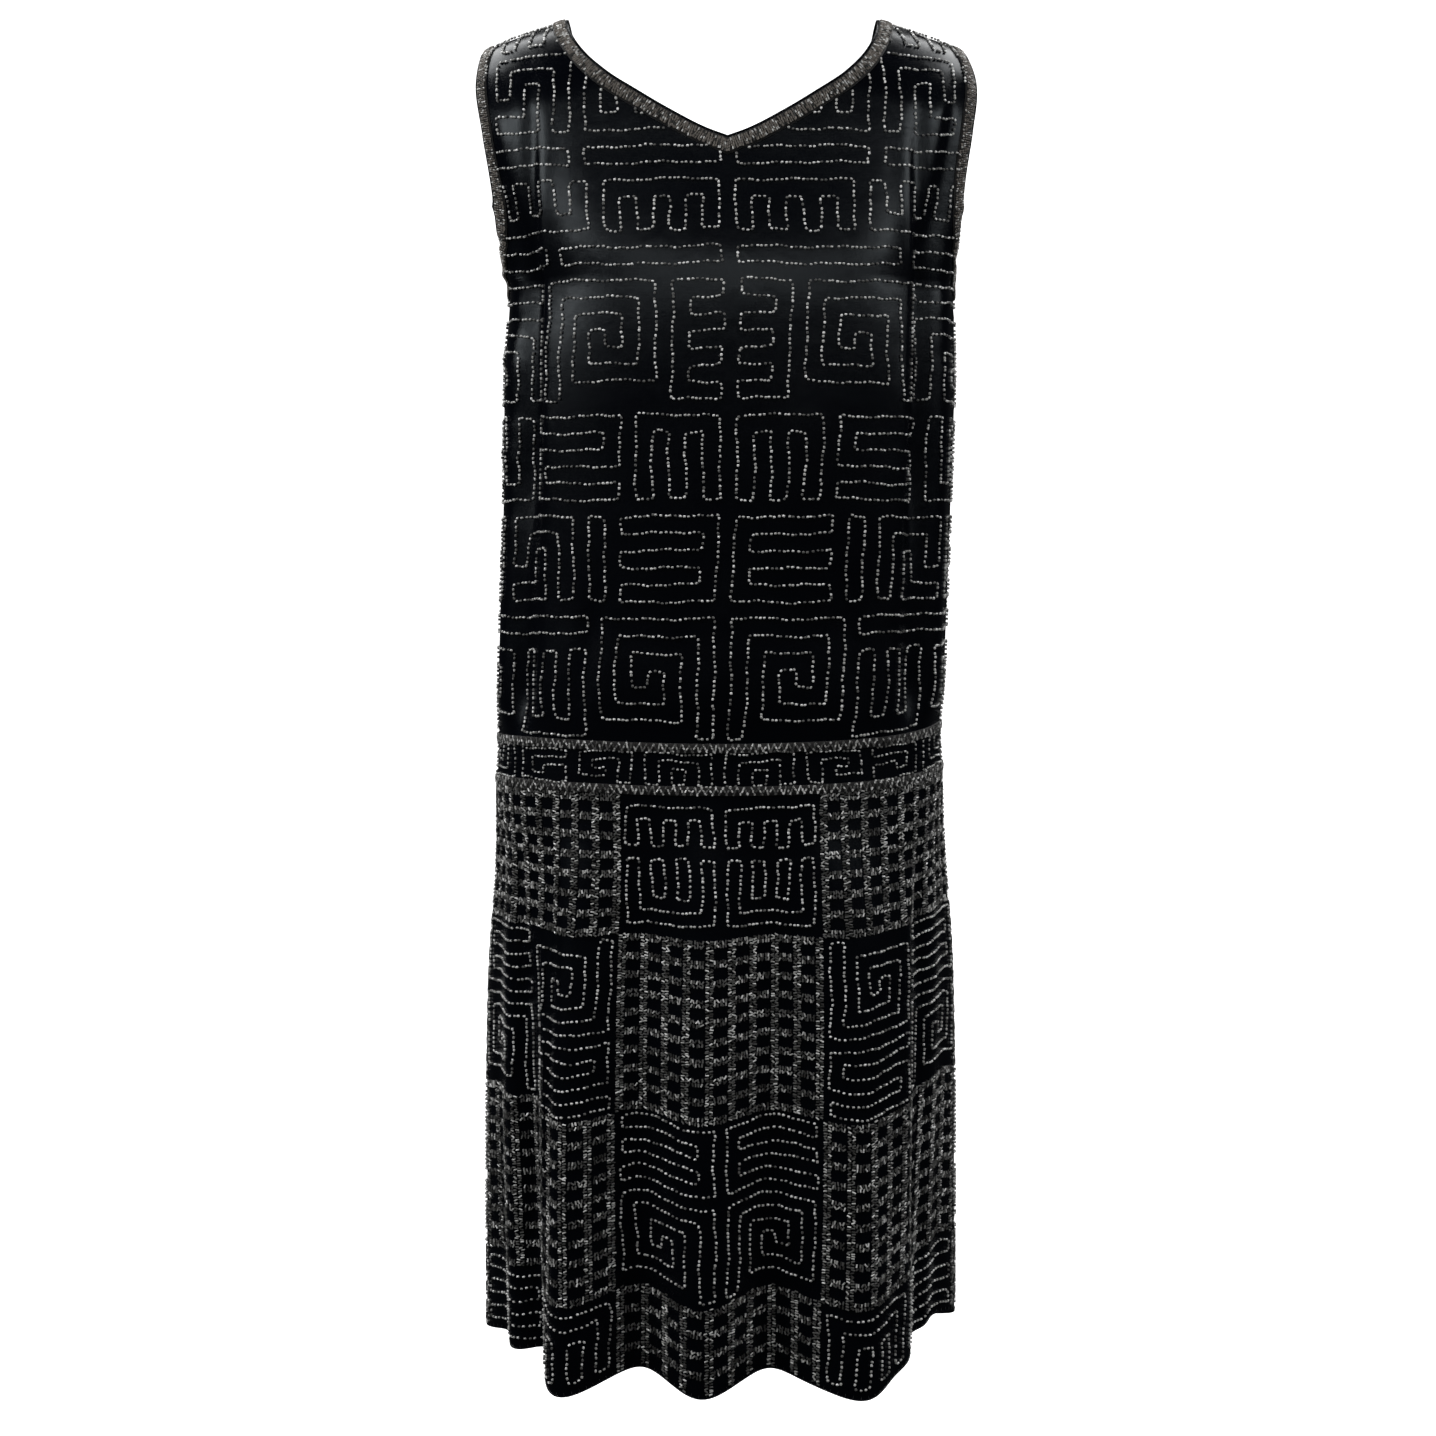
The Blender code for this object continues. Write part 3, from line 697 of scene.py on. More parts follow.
def hang(side, x, h):
    """Places g and z of flat points of one panel; X counts towards the wearer's left on both panels."""
    x, h = np.broadcast_arrays(np.asarray(x, float), np.asarray(h, float))
    z = h.copy()
    for _ in range(5):
        row = np.clip((z - LEVELS[0]) / LEVEL_STEP, 0, len(LEVELS) - 1.001)
        column = np.clip(np.abs(x) / FLAT_REACH * FLAT_STEPS, 0, FLAT_STEPS - 0.001)
        left, right = (between(FLAT[side, sign], row, column) for sign in (1, -1))
        g = np.where(x >= 0, left, -right)
        line = shoulder_height(sideways(g, z))
        turn = np.pi / 2 - (h - line + SHOULDER_ROUND) / SHOULDER_ROUND
        over = line - SHOULDER_ROUND * (1 - np.cos(np.clip(turn, 0.0, np.pi / 2)))
        z = np.where(h > line - SHOULDER_ROUND, over, h)
        past = (h > line - SHOULDER_ROUND) & (turn < 0.015)
    return (g if side == "front" else 2 - g), z, past


def laid(along, out):
    """A direction laid flat on the cloth, of length one."""
    return unit(along - (along * out).sum(-1, keepdims=True) * out)


def on_cloth(at, a, b, lift, angle=0.0, reach=4e-4):
    """Frames for beads: positions, directions along the line, and outward normals."""
    g, z = at(a, b)
    out = normals(g, z)
    da, db = np.cos(angle) * reach, np.sin(angle) * reach
    ahead, behind = surface(*at(a + da, b + db)), surface(*at(a - da, b - db))
    along = ahead - behind
    return surface(g, z) + lift * out, laid(along, out), out


print("flat tables", len(FLAT), "of", FLAT["front", 1].shape)

# %% [markdown]
# ## Beads
# A seed bead is a short barrel of glass with a hole; a cut bead is a six-sided piece of tube.
# Each is spun once from its profile, then repeated as one joined mesh with slight turns and sizes of its own.


# %%
# Bead templates and the repeater
def lathe(line, axis, steps, weld):
    """A line of points spun all the way round an axis."""
    bm = bmesh.new()
    line = [bm.verts.new(point) for point in line]
    edges = [bm.edges.new(pair) for pair in zip(line, line[1:])]
    bmesh.ops.spin(bm, geom=line + edges, cent=(0, 0, 0), axis=axis, angle=2 * math.pi, steps=steps)
    bmesh.ops.remove_doubles(bm, verts=bm.verts, dist=weld)
    return bm


def spun(profile, sides):
    """A bead spun round X from (x, radius) points, open at the thread hole, as points and faces."""
    bm = lathe([(x, r, 0.0) for x, r in profile], (1, 0, 0), sides, 1e-7)
    bmesh.ops.recalc_face_normals(bm, faces=bm.faces)
    if sum(f.normal.dot(f.calc_center_median() * Vector((0, 1, 1))) for f in bm.faces) < 0:
        bmesh.ops.reverse_faces(bm, faces=bm.faces)
    points = np.array([v.co for v in bm.verts])
    faces = np.array([[v.index for v in f.verts] for f in bm.faces])
    bm.free()
    return points, faces


SEED_BEAD = spun(((-0.50, 0.34), (0.0, 0.50), (0.50, 0.34)), 5)
CUT_BEAD = spun(((-0.5, 0.5), (0.5, 0.5)), 5)


def sew(name, template, frames, size, shades, weights, smooth=False):
    """Joined copies of one bead at these frames. size is (length, thickness)."""
    where, along, out = frames
    count = len(where)
    points, faces = template
    across = np.cross(out, along)
    spin = rng.uniform(0, 2 * np.pi, count)[:, None]
    y_axis = np.cos(spin) * across + np.sin(spin) * out
    z_axis = -np.sin(spin) * across + np.cos(spin) * out
    long = size[0] * rng.uniform(0.90, 1.08, count)[:, None]
    thick = size[1] * rng.uniform(0.90, 1.10, count)[:, None]
    corners = (where[:, None, :]
               + points[None, :, 0, None] * (along * long)[:, None, :]
               + points[None, :, 1, None] * (y_axis * thick)[:, None, :]
               + points[None, :, 2, None] * (z_axis * thick)[:, None, :]).reshape(-1, 3)
    sides = faces.shape[1]
    index = (faces[None] + (np.arange(count) * len(points))[:, None, None]).reshape(-1)
    mesh = bpy.data.meshes.new(name)
    mesh.vertices.add(len(corners))
    mesh.vertices.foreach_set("co", corners.ravel().astype(np.float32))
    mesh.loops.add(len(index))
    mesh.loops.foreach_set("vertex_index", index.astype(np.int32))
    mesh.polygons.add(len(index) // sides)
    mesh.polygons.foreach_set("loop_start", np.arange(0, len(index), sides, dtype=np.int32))
    shade = rng.choice(len(shades), size=count, p=weights)
    mesh.polygons.foreach_set("material_index", np.repeat(shade, len(faces)).astype(np.int32))
    mesh.update(calc_edges=True)
    mesh.validate()
    if smooth:
        mesh.shade_smooth()
    for kind in shades:
        mesh.materials.append(beads[kind])
    print(name, count, "beads,", count * len(faces) * (sides - 2), "triangles")
    return kept(name, mesh)


# %% [markdown]
# ## The fret design
# Single lines of beads run round and round in square turns, as in a maze. They are the outlines of simple
# shapes on a grid: combs, keys, spirals, bars. Each shape is charted here once, and a layout places them,
# mirrored about the centre line. The layout is this lesson's own; only its style, scale and density are old.

# %%
# Tiles of the fret, as small charts; a layout may turn them: m is mirrored, u upside down, r on the side
CHARTS = """
comb
ooooooo
o.o.o.o
o.o.o.o

tall
o.o.o
o.o.o
o.o.o
o.o.o
ooooo

coil
ooooooo
o.....o
o.ooo.o
o.o.o.o
o.o...o
o.ooooo
o......

curl
oooooo
o....o
o.oo.o
o.o..o
o.oooo

bars
oooooo
o.....
oooooo
o.....
oooooo

snake
oooooo
o.....
oooooo
.....o
oooooo

key
ooooo
o...o
o.o.o
o.o..
o.ooo

nest
o.....
o.oooo
o.o...
o.o.oo
o.o.o.
o.ooo.
o.....

beam
oooooooo

rail
oooooooooo

bar
oooooo

steps
ooo
o..
ooo
o..
ooo

post
o
o
o
o
o

fork
o.o.o
o.o.o
ooooo
..o..

hook
oooo
o..o
o..o
oo.o
...o

gate
ooooooo
o.....o
o.o.o.o
o.o.o.o
o.o.o.o

link
oooo
o...
o.oo
oooo

loop
ooooo
o...o
o.o.o
o.o.o

ring
oooo
o..o
o.oo
o...

wide_bars
ooooooo
o......
ooooooo
o......
ooooooo

wide_snake
ooooooo
o......
ooooooo
......o
ooooooo
"""
TILES = {block.split()[0]: block.split()[1:] for block in CHARTS.strip().split("\n\n")}


def chart(width, height, layout):
    """Lays tiles on a grid. Each entry is a tile, its column, its row from the foot and how it is turned."""
    grid = np.zeros((height, width), dtype=bool)
    for entry in layout.split(","):
        name, column, row, *turned = entry.split()
        column, row, turned = int(column), int(row), "".join(turned)
        cells = np.array([[c == "o" for c in line] for line in TILES[name]])[::-1]
        if "m" in turned:
            cells = cells[:, ::-1]
        if "u" in turned:
            cells = cells[::-1]
        if "r" in turned:
            cells = cells.T
        rows = min(cells.shape[0], height - row)
        columns = min(cells.shape[1], width - column)
        grid[row : row + rows, column : column + columns] |= cells[:rows, :columns]
    return grid


def outlines(grid):
    """Closed loops round the filled cells, as corner points in grid units."""
    filled = np.pad(grid, 1)
    nexts = {}
    for i, j in zip(*np.nonzero(filled)):
        x, y = j - 1, i - 1
        corners = (x, y), (x + 1, y), (x + 1, y + 1), (x, y + 1)
        beside = filled[i - 1, j], filled[i, j + 1], filled[i + 1, j], filled[i, j - 1]
        for k, taken in enumerate(beside):
            if not taken:
                nexts.setdefault(corners[k], []).append(corners[(k + 1) % 4])
    loops = []
    while nexts:
        start = next(iter(nexts))
        loop, here = [start], start
        while True:
            there = nexts[here].pop()
            if not nexts[here]:
                del nexts[here]
            if there == start:
                break
            loop.append(there)
            here = there
        loops.append(np.array(loop, float))
    return loops


def along_loop(loop, cell, pitch, soft=0.22):
    """Evenly pitched points with directions along a loop of cells with rounded corners, in metres."""
    turns = [(a, b, c) for a, b, c in zip(np.roll(loop, 1, 0), loop, np.roll(loop, -1, 0))
             if abs(np.cross(b - a, c - b)) > 1e-9]
    path = []
    for a, b, c in turns:
        near = (b - a) / np.linalg.norm(b - a)
        far = (c - b) / np.linalg.norm(c - b)
        for t in (0.0, 0.25, 0.5, 0.75, 1.0):
            path.append(b - near * soft * (1 - t) ** 2 + far * soft * t**2)
    path = np.array(path + path[:1]) * cell
    # A hand-sewn line wavers a little
    path[:-1] += rng.normal(0, 0.00016, path[:-1].shape)
    path[-1] = path[0]
    length = run_along(path)
    count = max(3, round(length[-1] / pitch))
    at = (np.arange(count) + rng.uniform(-0.20, 0.20, count) + 0.5) * length[-1] / count
    x, y = np.interp(at, length, path[:, 0]), np.interp(at, length, path[:, 1])
    ahead = np.interp((at + 4e-4) % length[-1], length, path[:, 0]) - x
    up = np.interp((at + 4e-4) % length[-1], length, path[:, 1]) - y
    return np.stack([x, y, np.arctan2(up, ahead)], axis=1)


print("tiles", len(TILES))

# %% [markdown]
# The layouts count columns from the centre line out to the side seam, and rows from the foot up.
# Beads stop short of the neck and armhole borders, so lines that reach an edge simply end there.

# %%
# Lay out and sew the fret lines
UNIT = QUARTER / 19
FRET_BEAD = (0.0019, 0.0021)
FRET_LIFT = 0.0008
BAND_BEAD = (0.0018, 0.0018)
BAND_LIFT = 0.0007
FRET_PITCH = 0.0034
WOBBLE = 0.0006  # how far hand-sewn lines stray
BEAD_ERROR = 0.00012
FRET_MIX = (0.20, 0.52, 0.28)
# The skirt's fret beads take a brighter mix than the same beads on the bodice: painted light for the light
# that the outward-leaning skirt catches from above.
SKIRT_PAINTED_LIGHT_MIX = (0.34, 0.50, 0.16)
BODICE_FOOT = HIP + 0.0070
FRONT_BODICE = """
    coil 0 0, tall 8 0, hook 14 0, rail 8 6,
    bars 0 8, post 7 8, key 9 8, steps 15 8,
    tall 0 14 u, snake 6 14, tall 13 14,
    comb 0 20 r, coil 4 20 m, curl 12 20, bar 12 26,
    rail 0 28, beam 11 28,
    comb 0 30, comb 8 30 u, post 16 30,
    beam 0 34, rail 9 34,
    tall 3 36, key 9 36, post 15 36,
    comb 9 42, bar 9 46
"""
BACK_BODICE = """
    bars 0 0 m, curl 7 0, fork 14 0 u,
    comb 0 6 r, nest 4 6, coil 11 6,
    rail 0 14, beam 11 14,
    snake 0 16, hook 7 16, bars 12 16,
    coil 0 22 m, tall 8 22, steps 14 22, rail 8 28,
    comb 0 30 u, tall 8 30, post 14 30,
    beam 2 36, rail 11 36,
    hook 7 38, post 12 38, post 14 38,
    comb 9 44
"""
BAND = "loop 0 0, ring 6 0, link 11 0 m, loop 16 0 u"


def edge_points():
    """The neck and armhole edges of the whole dress, as points and the clear width each asks for."""
    share = over_crest(np.linspace(0, 1, 90))
    edges, widths = [], []
    for _, deep, back in NECKS:
        x, z = neck_point(share, deep)
        for side in (1, -1):
            edges.append(surface(place(side * x, z, back), z))
            widths.append(np.full(len(x), EDGE + NECK_BORDER - 0.0004))
        z = arm_heights(50, 50)
        for side in (1, -1):
            g = side * (1 - arm_reach(z))
            edges.append(surface(2 - g if back else g, z))
            widths.append(np.full(len(z), EDGE + ARM_BORDER + 0.0002))
    return np.concatenate(edges), np.concatenate(widths)


EDGE_POINTS, EDGE_WIDTHS = edge_points()


def clear_of_edges(side, x, h):
    """True for flat places that lie on the panel and clear of its neck and armhole borders."""
    g, z, past = hang(side, x, h)
    here = surface(g, z)
    near = np.zeros(len(here), dtype=bool)
    for start in range(0, len(EDGE_POINTS), 60):
        part = EDGE_POINTS[start : start + 60]
        gap = np.linalg.norm(here[:, None, :] - part[None], axis=-1)
        near |= (gap < EDGE_WIDTHS[None, start : start + 60]).any(axis=1)
    out_x = np.abs(sideways(g, z))
    deep = 1.0 if side == "front" else V_BACK
    neck = np.interp(out_x, [p[0] for p in NECK_EDGE], [p[1] * deep for p in NECK_EDGE])
    inside = (out_x > NECK_POINT) | (z < neck)
    reach = np.abs(g) if side == "front" else np.abs(2 - g)
    inside &= (z < UNDERARM) | (reach < 1 - arm_reach(z))
    return inside & ~near & ~past


def fret_lines(layout, columns, rows, origin, cell):
    """Flat bead places of one chart and its mirror image: origin is its lower inner corner."""
    marks = []
    for loop in outlines(chart(columns, rows, layout)):
        for side in (1, -1):
            places = along_loop(loop, np.array(cell), FRET_PITCH)
            x = origin[0] + places[:, 0]
            turn = places[:, 2] if side > 0 else np.pi - places[:, 2]
            marks.append(np.stack([side * x, origin[1] + places[:, 1], turn], axis=1))
    return np.concatenate(marks)


def sway(a, b, bend, pull, fast, fast_b, slow, slow_b):
    """An uneven wave along a that shifts with b, from three rates for each in radians a metre."""
    return (np.sin(a * bend + 3 * np.sin(b * pull)) + 0.5 * np.sin(a * fast + b * fast_b)
            + 1.2 * np.sin(a * slow + b * slow_b))


def stray(marks):
    """Hand-sewn lines stray a little: a slow wave over the cloth and a small error at each bead."""
    x, h = marks[:, 0].copy(), marks[:, 1].copy()
    marks[:, 0] += WOBBLE * sway(h, x, 150, 50, 410, 130, 47, -30) + rng.normal(0, BEAD_ERROR, len(x))
    marks[:, 1] += WOBBLE * sway(x, h, 140, 45, 390, -110, 52, 25) + rng.normal(0, BEAD_ERROR, len(x))
    marks[:, 2] += rng.normal(0, 0.10, len(x))
    return marks


def sew_flat(name, side, marks, template, size, shades, weights, lift):
    frames = on_cloth(lambda a, b: hang(side, a, b)[:2], marks[:, 0], marks[:, 1], lift, marks[:, 2])
    return sew(name, template, frames, size, shades, weights, template is SEED_BEAD)


SILVERS = ("bead_bright", "bead_silver", "bead_pewter")
trims = {label: [] for label in panels}
for label, layout in (("front", FRONT_BODICE), ("back", BACK_BODICE)):
    marks = fret_lines(layout, 18, 47, (UNIT / 2, BODICE_FOOT), (UNIT, UNIT))
    marks = stray(marks[clear_of_edges(label, marks[:, 0], marks[:, 1])])
    trims["bodice_" + label].append(
        sew_flat("fret_bodice_" + label, label, marks, SEED_BEAD, FRET_BEAD, SILVERS, FRET_MIX, FRET_LIFT))
    unit_x, unit_h = QUARTER / 22, (HIP - BAND_FOOT - HIP_BORDER - 0.0012) / 4
    foot = BAND_FOOT + HIP_BORDER / 2 + 0.0006
    marks = fret_lines(BAND, 21, 4, (unit_x / 2, foot), (unit_x, unit_h))
    marks = stray(marks)
    trims["hip_band_" + label].append(
        sew_flat("fret_band_" + label, label, marks, SEED_BEAD, BAND_BEAD, SILVERS, FRET_MIX, BAND_LIFT))

# %% [markdown]
# ## The skirt's blocks
# Six columns of blocks go round the skirt in four rows, fret and lattice by turns like a chessboard.
# A lattice is bands of cut beads, two abreast, sewn slantwise; between the bands bare squares are left.

# %%
# Blocks of fret and lattice on the skirt
ROW_LINES = (BAND_FOOT - HIP_BORDER / 2, -0.681, -0.815, -0.949, HEM + 0.0004)
COLUMN = QUARTER * 2 / 3
BAR = 0.0058
BARS_ACROSS = 9
CELLS_UP = (7, 9, 9)
LOW_CELL = 0.0148  # the lowest row of cells runs into the hem
LATTICE_STEP = 0.0020
LATTICE_BEAD = (0.0027, 0.00135)
LATTICE_LIFT = 0.0006
# The lattice mix is the beads' own greys, leaned towards the brighter shades as painted light for the dimly
# lit lower skirt.
LATTICE_GREYS_AND_PAINTED_LIGHT_MIX = (0.08, 0.22, 0.42, 0.28)
LEAN = 0.30
FRET_ROWS = (9, 13, 13, 5)
HALF_BLOCKS = {
    ("front", 0): "gate 0 0 u, comb 0 6",
    ("front", 2): "coil 0 0, wide_bars 0 8",
    ("back", 1): "coil 0 0 m, wide_snake 0 8",
    ("back", 3): "gate 0 0",
}
SIDE_BLOCKS = {
    ("front", 1): "wide_snake 0 0, coil 8 0, coil 0 6 u, wide_bars 8 8 m",
    ("front", 3): "gate 0 0, wide_bars 8 0",
    ("back", 0): "wide_bars 0 0, comb 0 6, gate 8 0, comb 8 6 u",
    ("back", 2): "coil 0 0, wide_snake 0 8 m, gate 8 0 u, coil 8 6 m",
}


def slants(count):
    """Leans of a row of beads: this way and that, never quite the same."""
    return LEAN * np.where(np.arange(count) % 2, 1, -1) + rng.normal(0, 0.26, count)


def lattice(x0, x1, h0, h1, cells_up):
    """Flat bead places of one lattice block: its upright bars, then its cross bars between them."""
    across = (x1 - x0 - BAR) / BARS_ACROSS
    up = (h1 - h0 - BAR) / cells_up
    marks = []
    for i in range(BARS_ACROSS + 1):
        centre = x0 + BAR / 2 + i * across
        h = np.arange(h0 + LATTICE_STEP / 2, h1, LATTICE_STEP)
        for lane in (-1, 1):
            tilt = slants(len(h))
            x = np.full(len(h), centre + lane * BAR * 0.25)
            marks.append(np.stack([x, h + lane * 0.0004, tilt], axis=1))
    for j in range(int(cells_up) + 1):
        level = h1 - BAR / 2 - j * up
        for i in range(BARS_ACROSS):
            start = x0 + BAR + i * across
            x = np.arange(start + LATTICE_STEP / 2, start + across - BAR, LATTICE_STEP)
            for lane in (-1, 1):
                tilt = np.pi / 2 + slants(len(x))
                marks.append(np.stack([x, np.full(len(x), level + lane * BAR * 0.25), tilt], axis=1))
    marks = np.concatenate(marks)
    marks[:, :2] += rng.normal(0, 0.00025, (len(marks), 2))
    return marks


PEWTERS = ("bead_bright", "bead_silver", "bead_pewter", "bead_smoke")
BRONZES = ("bead_bright", "bead_silver", "bead_bronze", "bead_smoke")
FRET_UNIT = COLUMN / 16
for label in ("front", "back"):
    frets, grids = [], []
    for row in range(4):
        h1, h0 = ROW_LINES[row], ROW_LINES[row + 1]
        rows = FRET_ROWS[row]
        foot = h0 + (h1 - h0 - rows * FRET_UNIT) / 2
        cells = CELLS_UP[row] if row < len(CELLS_UP) else (h1 - h0 - BAR) / LOW_CELL
        if (label, row) in HALF_BLOCKS:
            frets.append(fret_lines(HALF_BLOCKS[label, row], 7, rows, (FRET_UNIT / 2, foot),
                                    (FRET_UNIT, FRET_UNIT)))
            for side in (1, -1):
                block = lattice(COLUMN / 2, COLUMN * 1.5, h0, h1, cells)
                block[:, 0] *= side
                grids.append(block)
        else:
            margin = (COLUMN - 15 * FRET_UNIT) / 2
            frets.append(fret_lines(SIDE_BLOCKS[label, row], 15, rows, (COLUMN / 2 + margin, foot),
                                    (FRET_UNIT, FRET_UNIT)))
            grids.append(lattice(-COLUMN / 2, COLUMN / 2, h0, h1, cells))
    frets, grids = np.concatenate(frets), np.concatenate(grids)
    frets = stray(frets[frets[:, 1] > HEM + 0.0022])
    grids = grids[(grids[:, 1] > HEM + 0.0014) & (np.abs(grids[:, 0]) < QUARTER - 0.0012)]
    # The skirt's bead mixes lean brighter than the bodice's: painted light on the lower dress.
    trims["skirt_" + label] += [
        sew_flat("fret_skirt_" + label, label, frets, SEED_BEAD, FRET_BEAD, SILVERS, SKIRT_PAINTED_LIGHT_MIX, FRET_LIFT),
        sew_flat("lattice_skirt_" + label, label, grids, CUT_BEAD, LATTICE_BEAD, PEWTERS, LATTICE_GREYS_AND_PAINTED_LIGHT_MIX,
                 LATTICE_LIFT),
    ]

# %% [markdown]
# ## Beaded borders
# Neck, armholes and hip band are edged with strips of tape that are covered with beads in slanting stitches.
# A strip is two rows of places: its inner and outer edge. Beads go along it at an even pitch.


# %%
# The tape of a border
TAPE_LIFT = 0.0006
CROWN = 0.0006


def tape_strip(name, at, width, stations, ring):
    """A closed strip of tape: at(t, w) gives places for a share t of its length and w across it."""
    t = np.linspace(0, 1, stations + 1)[: stations if ring else stations + 1]
    w = np.linspace(0, width, 5)
    g, z = at(t[None, :], w[:, None])
    on, out = surface(g, z), normals(g, z)
    crown = (CROWN * np.sin(np.pi * np.linspace(0.06, 0.94, 5)))[:, None, None]
    top = on + (TAPE_LIFT + crown) * out
    foot = on + 0.0002 * out
    ids = np.arange(g.size).reshape(g.shape)
    if ring:
        ids = np.concatenate([ids, ids[:, :1]], axis=1)
    faces = [quads(ids), quads(ids)[:, ::-1] + g.size]
    rims = [ids[0], ids[-1, ::-1]]
    if not ring:
        rims += [ids[::-1, 0], ids[:, -1]]
    for rim in rims:
        p, q = rim[:-1], rim[1:]
        faces.append(np.stack([q, p, p + g.size, q + g.size], axis=1))
    mesh = bpy.data.meshes.new(name)
    mesh.from_pydata(np.concatenate([top.reshape(-1, 3), foot.reshape(-1, 3)]).tolist(), [],
                     np.concatenate(faces).tolist())
    bm = bmesh.new()
    bm.from_mesh(mesh)
    bmesh.ops.recalc_face_normals(bm, faces=bm.faces)
    bm.to_mesh(mesh)
    bm.free()
    mesh.shade_smooth()
    mesh.materials.append(tape.material)
    return kept(name, mesh)


print("tape stands", TAPE_LIFT * 1000, "mm off the cloth")

# %% [markdown]
# The beads of a border are picked up a few at a time: each stitch is a short run across the tape.
# Along neck and armholes the runs lie side by side, and at the hip they lean to and fro in a zigzag.


# %%
# Beads of a border
def strip(node, at, width, stations, ring, stitch):
    """A border: its tape, covered with stitches of beads.

    stitch is (beads in a stitch, first and last w, pitch, zigzag lean, mix of shades)."""
    ground = tape_strip("beading_" + node + "_tape", at, width, stations, ring)
    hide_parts(node)
    fine = np.linspace(0, 1, 1201)
    path = surface(*at(fine, np.full_like(fine, width / 2)))
    run = run_along(path)
    across, first, last, pitch, zigzag, mix = stitch
    count = round(run[-1] / pitch)
    start = (np.arange(count) + 0.5) / count * run[-1]
    lane = (np.arange(across) + 0.5) / across
    turned = np.where(np.arange(count) % 2, zigzag, -zigzag) + rng.normal(0, 0.16, count)
    slant = np.tan(turned)[:, None] * (last - first) * (lane[None, :] - 0.5)
    far = (start[:, None] + slant).ravel()

    def share_at(far):
        """The share t of a length in metres along the strip."""
        inside = far % run[-1] if ring else np.clip(far, 0.002 * run[-1], 0.998 * run[-1])
        return np.interp(inside, run, fine)

    # Each stitch ends where the hand put it, so the edge of the border is not quite straight
    w = first + np.tile(lane * (last - first), count) + np.repeat(rng.normal(0, 0.00025, count), across)
    w = np.clip(w, 0.0002, width - 0.0002)
    lean = np.repeat(turned, across) + rng.normal(0, 0.20, len(far))
    raised = (TAPE_LIFT + CROWN * np.sin(np.pi * np.clip(w / width, 0, 1)) + 0.0003)[:, None]
    frames = on_cloth(lambda far, w: at(share_at(far), w), far, w, raised, np.pi / 2 - lean)
    greys = BRONZES if zigzag == 0 else PEWTERS
    cover = sew("beading_" + node, CUT_BEAD, frames, ((last - first) / across * 0.94, 0.00135), greys, mix)
    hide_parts(node)


def hip_strip(level):
    return lambda t, w: np.broadcast_arrays(t * 4 - 1, level - HIP_BORDER / 2 + w)


def neck_strip(deep, back):
    def at(t, w):
        t, w = np.broadcast_arrays(t, w)
        share = over_crest(np.abs(2 * t - 1))
        x, z = neck_point(share, deep)
        drop = np.maximum(shoulder_height(x) - z, 0.0)
        x1, z1 = neck_point(np.minimum(share + 0.012, 1), deep)
        x0, z0 = neck_point(np.maximum(share - 0.012, -0.0), deep)
        long = np.hypot(x1 - x0, z1 - z0)
        # At the V the strip is mitred: its cross line turns to the centre line
        mitre = ease(share / 0.04)
        away_x, away_z = (z1 - z0) / long * mitre, -(x1 - x0) / long
        size = np.hypot(away_x, away_z)
        reach = (EDGE + w) * (1 + 0.14 * (1 - mitre))
        x, z = x + reach * away_x / size, z + reach * away_z / size
        # Towards the shoulder both sides of the strip keep the same drop below the shoulder line
        line = shoulder_height(x)
        high = ease((share - 0.75) / 0.20)
        z = (1 - high) * np.minimum(z, line) + high * (line - drop)
        x = np.where(t < 0.5, -x, x)
        return place(x, z, back), z
    return at


def arm_strip(sign):
    fine = np.linspace(0, 1, 61)
    low = fine * np.pi / 2
    metre = QUARTER * 0.82
    wide, tall = ARM_REACH * metre, ARM_WIDEST - UNDERARM
    z_top = arm_heights(2, 2)[-1]
    climb = fine[1:]

    def one(reach):
        out_g, out_z = np.sin(low) / wide, -np.cos(low) / tall
        long = np.hypot(out_g, out_z)
        g_low = 1 - (wide * np.sin(low) + reach * out_g / long) / metre
        z_low = ARM_WIDEST - tall * np.cos(low) + reach * out_z / long
        z_edge = ARM_WIDEST + (z_top - ARM_WIDEST) * (1 - (1 - climb) ** 1.8)
        run = reach * (0.74 + 0.22 * climb)
        z_high = z_edge + SHOULDER_SLOPE * ease((z_edge - ARM_WIDEST) / 0.03) * run
        x_high = sideways(1 - ARM_REACH, z_edge) - run
        z_high[-1] = shoulder_height(x_high[-1])
        front = np.concatenate([g_low, place(x_high, z_high)])
        level = np.concatenate([z_low, z_high])
        return np.concatenate([front, 2 - front[::-1]]), np.concatenate([level, level[::-1]])

    reaches = np.linspace(EDGE, EDGE + ARM_BORDER, 6)
    made = [one(r) for r in reaches]
    g_rows, z_rows = np.array([m[0] for m in made]), np.array([m[1] for m in made])
    # Even steps along the ring, by the length of its middle line
    path = surface(g_rows[3] * sign, z_rows[3])
    run = run_along(path)

    def at(t, w):
        t, w = np.broadcast_arrays(t, w)
        column = np.interp((t % 1.0) * run[-1], run, np.arange(len(run)))
        column = np.minimum(column, len(run) - 1 - 1e-9)
        row = np.clip(w / ARM_BORDER * 5, 0, 4.999)
        return between(g_rows, row, column) * sign, between(z_rows, row, column)

    return at


